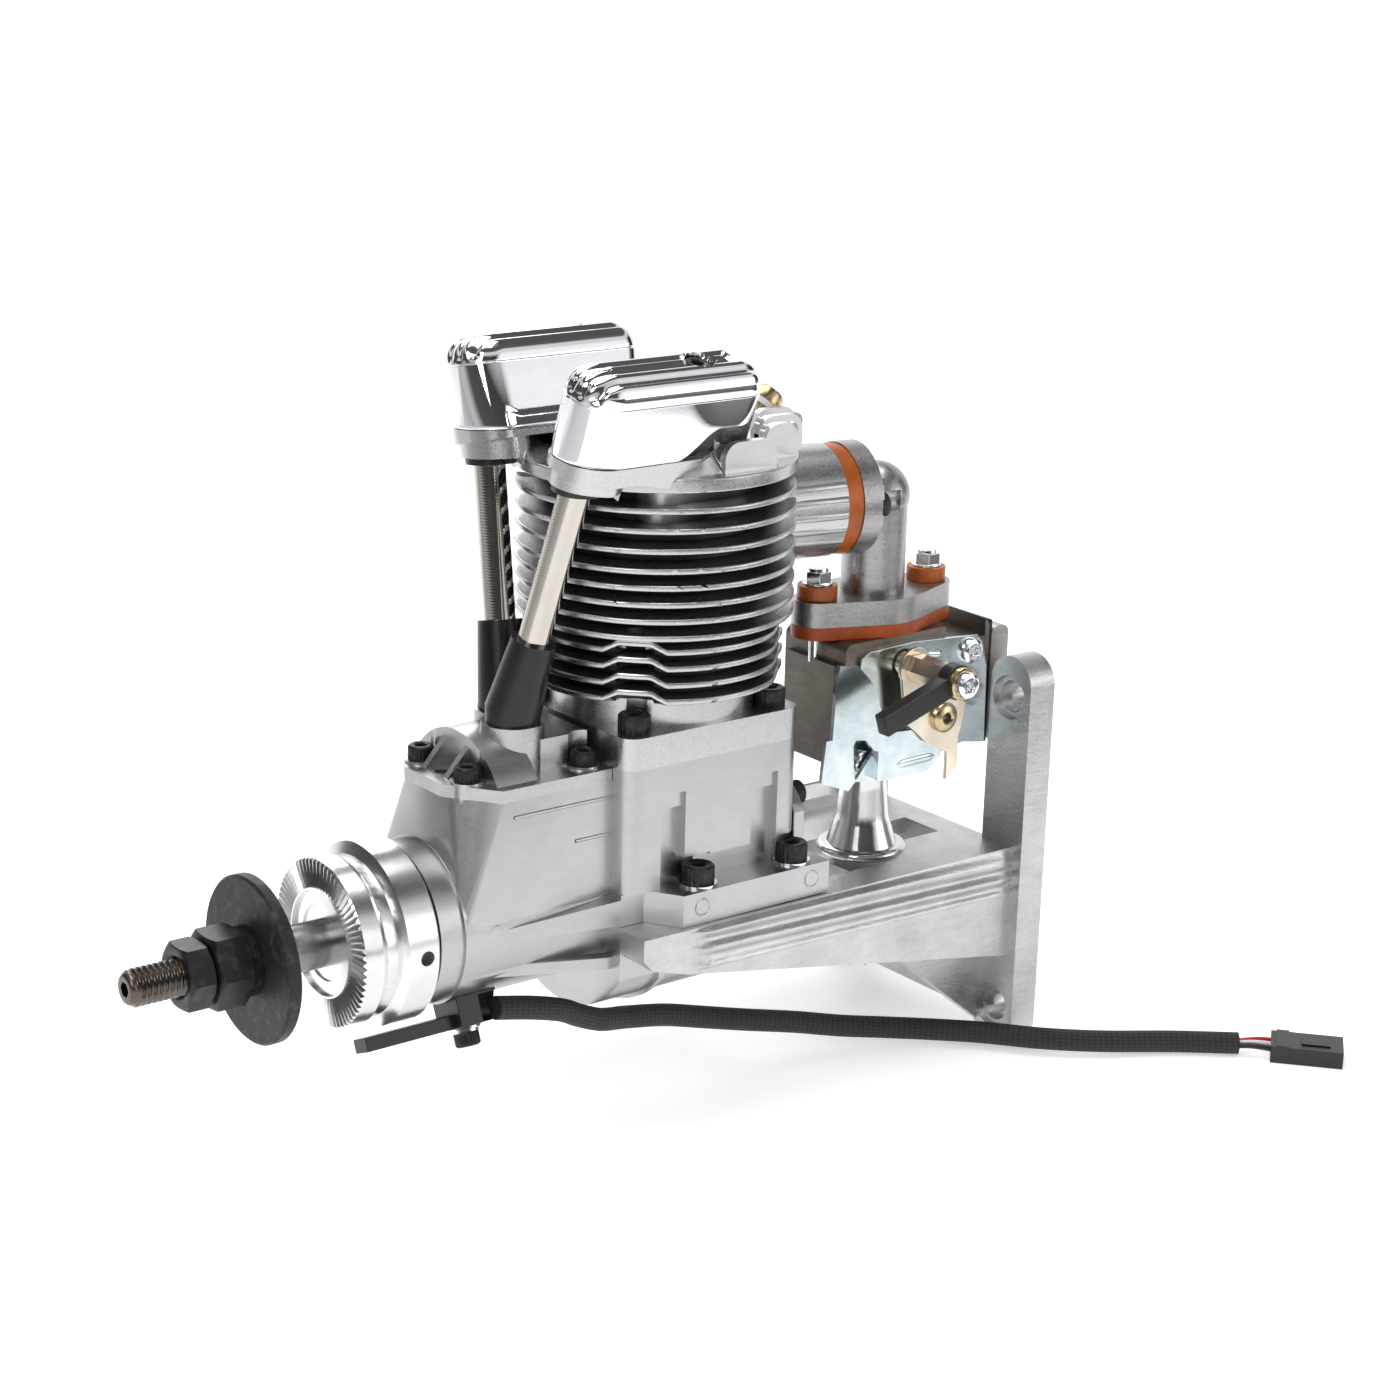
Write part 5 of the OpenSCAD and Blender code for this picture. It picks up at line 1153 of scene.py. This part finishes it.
class ENGINE_OT_fittings(bpy.types.Operator):
    """Finishes tubes, boots, seals, insulators, studs, plug and sensor"""
    bl_idname = "engine.fittings"
    bl_label = "Fittings"

    def execute(self, context):
        dress("pushrod_tubes", "tube", shape=reach_up)
        dress("rubber_boots", "rubber")
        dress("tube_seals", "rubber", shape=reach_up)
        dress("intake_insulator", "orange", 0.15)
        dress("carb_insulator", "orange_dark", 0.2)
        dress("stud_bushes", "orange", 0.2)
        dress("carb_studs", "bright", 0.15)
        dress("spark_plug", "ceramic", 0.2)
        dress("mount_washers", "bright")
        dress("sensor_holder", "plastic", 0.4)
        self.sensor_screw()
        for node in ("shaft_bearings", "rod_pins", "rocker_shafts", "intake_valve", "exhaust_valve",
                     "intake_pushrod", "exhaust_pushrod"):
            dress(node, "steel")
        for node in ("camshaft", "intake_rocker", "exhaust_rocker"):
            dress(node, "dark_steel")
        for node in ("piston", "connecting_rod"):
            dress(node, "turned")
        for node in ("intake_valve_spring", "exhaust_valve_spring"):
            dress(node, "dark_steel")
        self.plug_terminal()
        return {"FINISHED"}

    def plug_terminal(self):
        """The grooved brass terminal on the spark plug."""
        bm = bmesh.new()
        tilt = math.radians(42)
        along = Vector((math.sin(tilt), 0, math.cos(tilt)))
        lathe(bm, [(3.6, 0), (3.7, 0.4), (3.7, 3.6), (3.2, 4.0), (3.2, 4.7), (3.65, 5.1), (3.65, 7.4),
                   (3.2, 8.0), (1.4, 8.15), (1.2, 7.6), (0, 7.5)], Vector((6, 0, 76)) + along * 29, along, 40)
        finish_piece("plug_terminal", bm, "brass", "engine", 40)

    def sensor_screw(self):
        """The black knurled screw under the sensor holder, with its two bright washers."""
        down = Vector((0, -math.sin(SENSOR_TURN), -math.cos(SENSOR_TURN)))
        seat = Vector((-55, 0, 0)) + down * 24.0
        bm = bmesh.new()
        lathe(bm, [(1.7, 0.0), (3.5, 0.0), (3.6, 0.15), (3.6, 0.55), (3.4, 0.7), (3.1, 0.72), (3.1, 1.2),
                   (2.9, 1.3), (1.7, 1.3)], seat, down, 48)
        finish_piece("sensor_washers", bm, "bright", "engine", 30)
        bm = bmesh.new()
        cap_screw(bm, seat + down * 1.3, down, 2.75, 3.0)
        heads = finish_piece("sensor_screws_heads", bm, "black", "engine", 34)
        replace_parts(heads, "sensor_screws")


class ENGINE_OT_carburettor(bpy.types.Operator):
    """Finishes the carburettor, its pump cover, bracket, levers and velocity stack"""
    bl_idname = "engine.carburettor"
    bl_label = "Carburettor"

    def execute(self, context):
        dress("carb_body", "carb", 0.4)
        dress("pump_gasket", "rubber", 0.1)
        dress("pump_cover", "pump", 0.6)
        dress("linkage_bracket", "zinc", 0.18)
        dress("choke_lever", "zinc", 0.22)
        dress("throttle_lever", "champagne", 0.2)
        dress("throttle_arm", "plastic", 0.3)
        dress("throttle_spacer", "nickel", 0.2)
        dress("throttle_shaft", "bright", 0.1)
        dress("choke_shaft", "steel")
        dress("velocity_stack", "stack")
        self.details()
        return {"FINISHED"}

    def rib(self, name, line, width, depth, height, paint, body, slot):
        """A pressed rib along a line of (x, z) on the near face, depth mm in front of it."""
        bm = bmesh.new()
        (x0, z0), (x1, z1) = line
        along = Vector((x1 - x0, 0, z1 - z0)).normalized()
        across = Vector((-along.z, 0, along.x))
        rows = []
        for t in range(9):
            s = t / 8
            grow = math.sqrt(max(0.0, 1 - abs(2 * s - 1) ** 6))
            middle = Vector((x0 + (x1 - x0) * s, NEAR_FACE - depth, z0 + (z1 - z0) * s))
            row = []
            for k in range(9):
                a = math.pi * k / 8
                out = Vector((0, -height * grow * math.sin(a), 0))
                row.append(at(*(middle + across * width * grow * math.cos(a) + out)))
            rows.append(row)
        grid_piece(bm, rows, closed=False)
        finish_piece(name, bm, paint, body, 60)

    def details(self):
        """The pressed ribs, and the eyelet, screw and collar of the throttle lever."""
        self.rib("bracket_rib", ((59.5, 44.2), (67.4, 43.2)), 1.1, 0.95, 0.8, "zinc", "engine", "zinc_plate")
        self.rib("choke_arm_rib", ((51.3, 20.4), (63.4, 20.6)), 1.0, 4.15, 0.35,
                 "zinc", "choke", "zinc_plate")
        bm = bmesh.new()
        lathe(bm, [(1.2, 0.2), (1.2, -1.6), (1.6, -1.9), (2.6, -1.7), (3.3, -1.25), (3.5, -1.0), (3.5, 0.1)],
              (63.7, NEAR_FACE - 5.6, 30.1), (0, 1, 0), 40)
        finish_piece("lever_eyelet", bm, "brass", "throttle", 40)
        bm = bmesh.new()
        pan_screw(bm, (CARB_X, NEAR_FACE - 21.8, THROTTLE_Z), (0, -1, 0), 3.0, 1.4)
        finish_piece("lever_screw_head", bm, "bright", "throttle", 34)
        bm = bmesh.new()
        lathe(bm, [(2.0, 19.75), (3.6, 19.75), (3.7, 20.0), (3.7, 21.4), (3.4, 21.7), (2.0, 21.75)],
              (CARB_X, NEAR_FACE, THROTTLE_Z), (0, -1, 0), 40)
        finish_piece("lever_collar", bm, "brass", "throttle", 40)


class ENGINE_PT_panel(bpy.types.Panel):
    """Lists the engine's pieces in the sidebar"""
    bl_label = "Engine"
    bl_space_type = "VIEW_3D"
    bl_region_type = "UI"
    bl_category = "Engine"

    def draw(self, context):
        layout = self.layout
        for group in (context.scene.engine_lead, context.scene.engine_cover, context.scene.engine_stage):
            for name in group.__annotations__:
                layout.prop(group, name)
        for operator in STEPS:
            layout.operator(operator.bl_idname)


STEPS = (ENGINE_OT_camera, ENGINE_OT_lead, ENGINE_OT_stage, ENGINE_OT_castings, ENGINE_OT_rocker_covers,
         ENGINE_OT_screws, ENGINE_OT_drive, ENGINE_OT_fittings, ENGINE_OT_carburettor)
CLASSES = (LeadSettings, CoverSettings, StageSettings) + STEPS + (ENGINE_PT_panel,)
PAINTS = {}


def register():
    for cls in CLASSES:
        bpy.utils.register_class(cls)
    bpy.types.Scene.engine_lead = bpy.props.PointerProperty(type=LeadSettings)
    bpy.types.Scene.engine_cover = bpy.props.PointerProperty(type=CoverSettings)
    bpy.types.Scene.engine_stage = bpy.props.PointerProperty(type=StageSettings)


def unregister():
    for name in ("engine_lead", "engine_cover", "engine_stage"):
        delattr(bpy.types.Scene, name)
    for cls in reversed(CLASSES):
        bpy.utils.unregister_class(cls)


def main():
    register()
    PAINTS.update(paints())
    for step in STEPS:
        group, name = step.bl_idname.split(".")
        getattr(getattr(bpy.ops, group), name)()


if __name__ == "__main__":
    main()
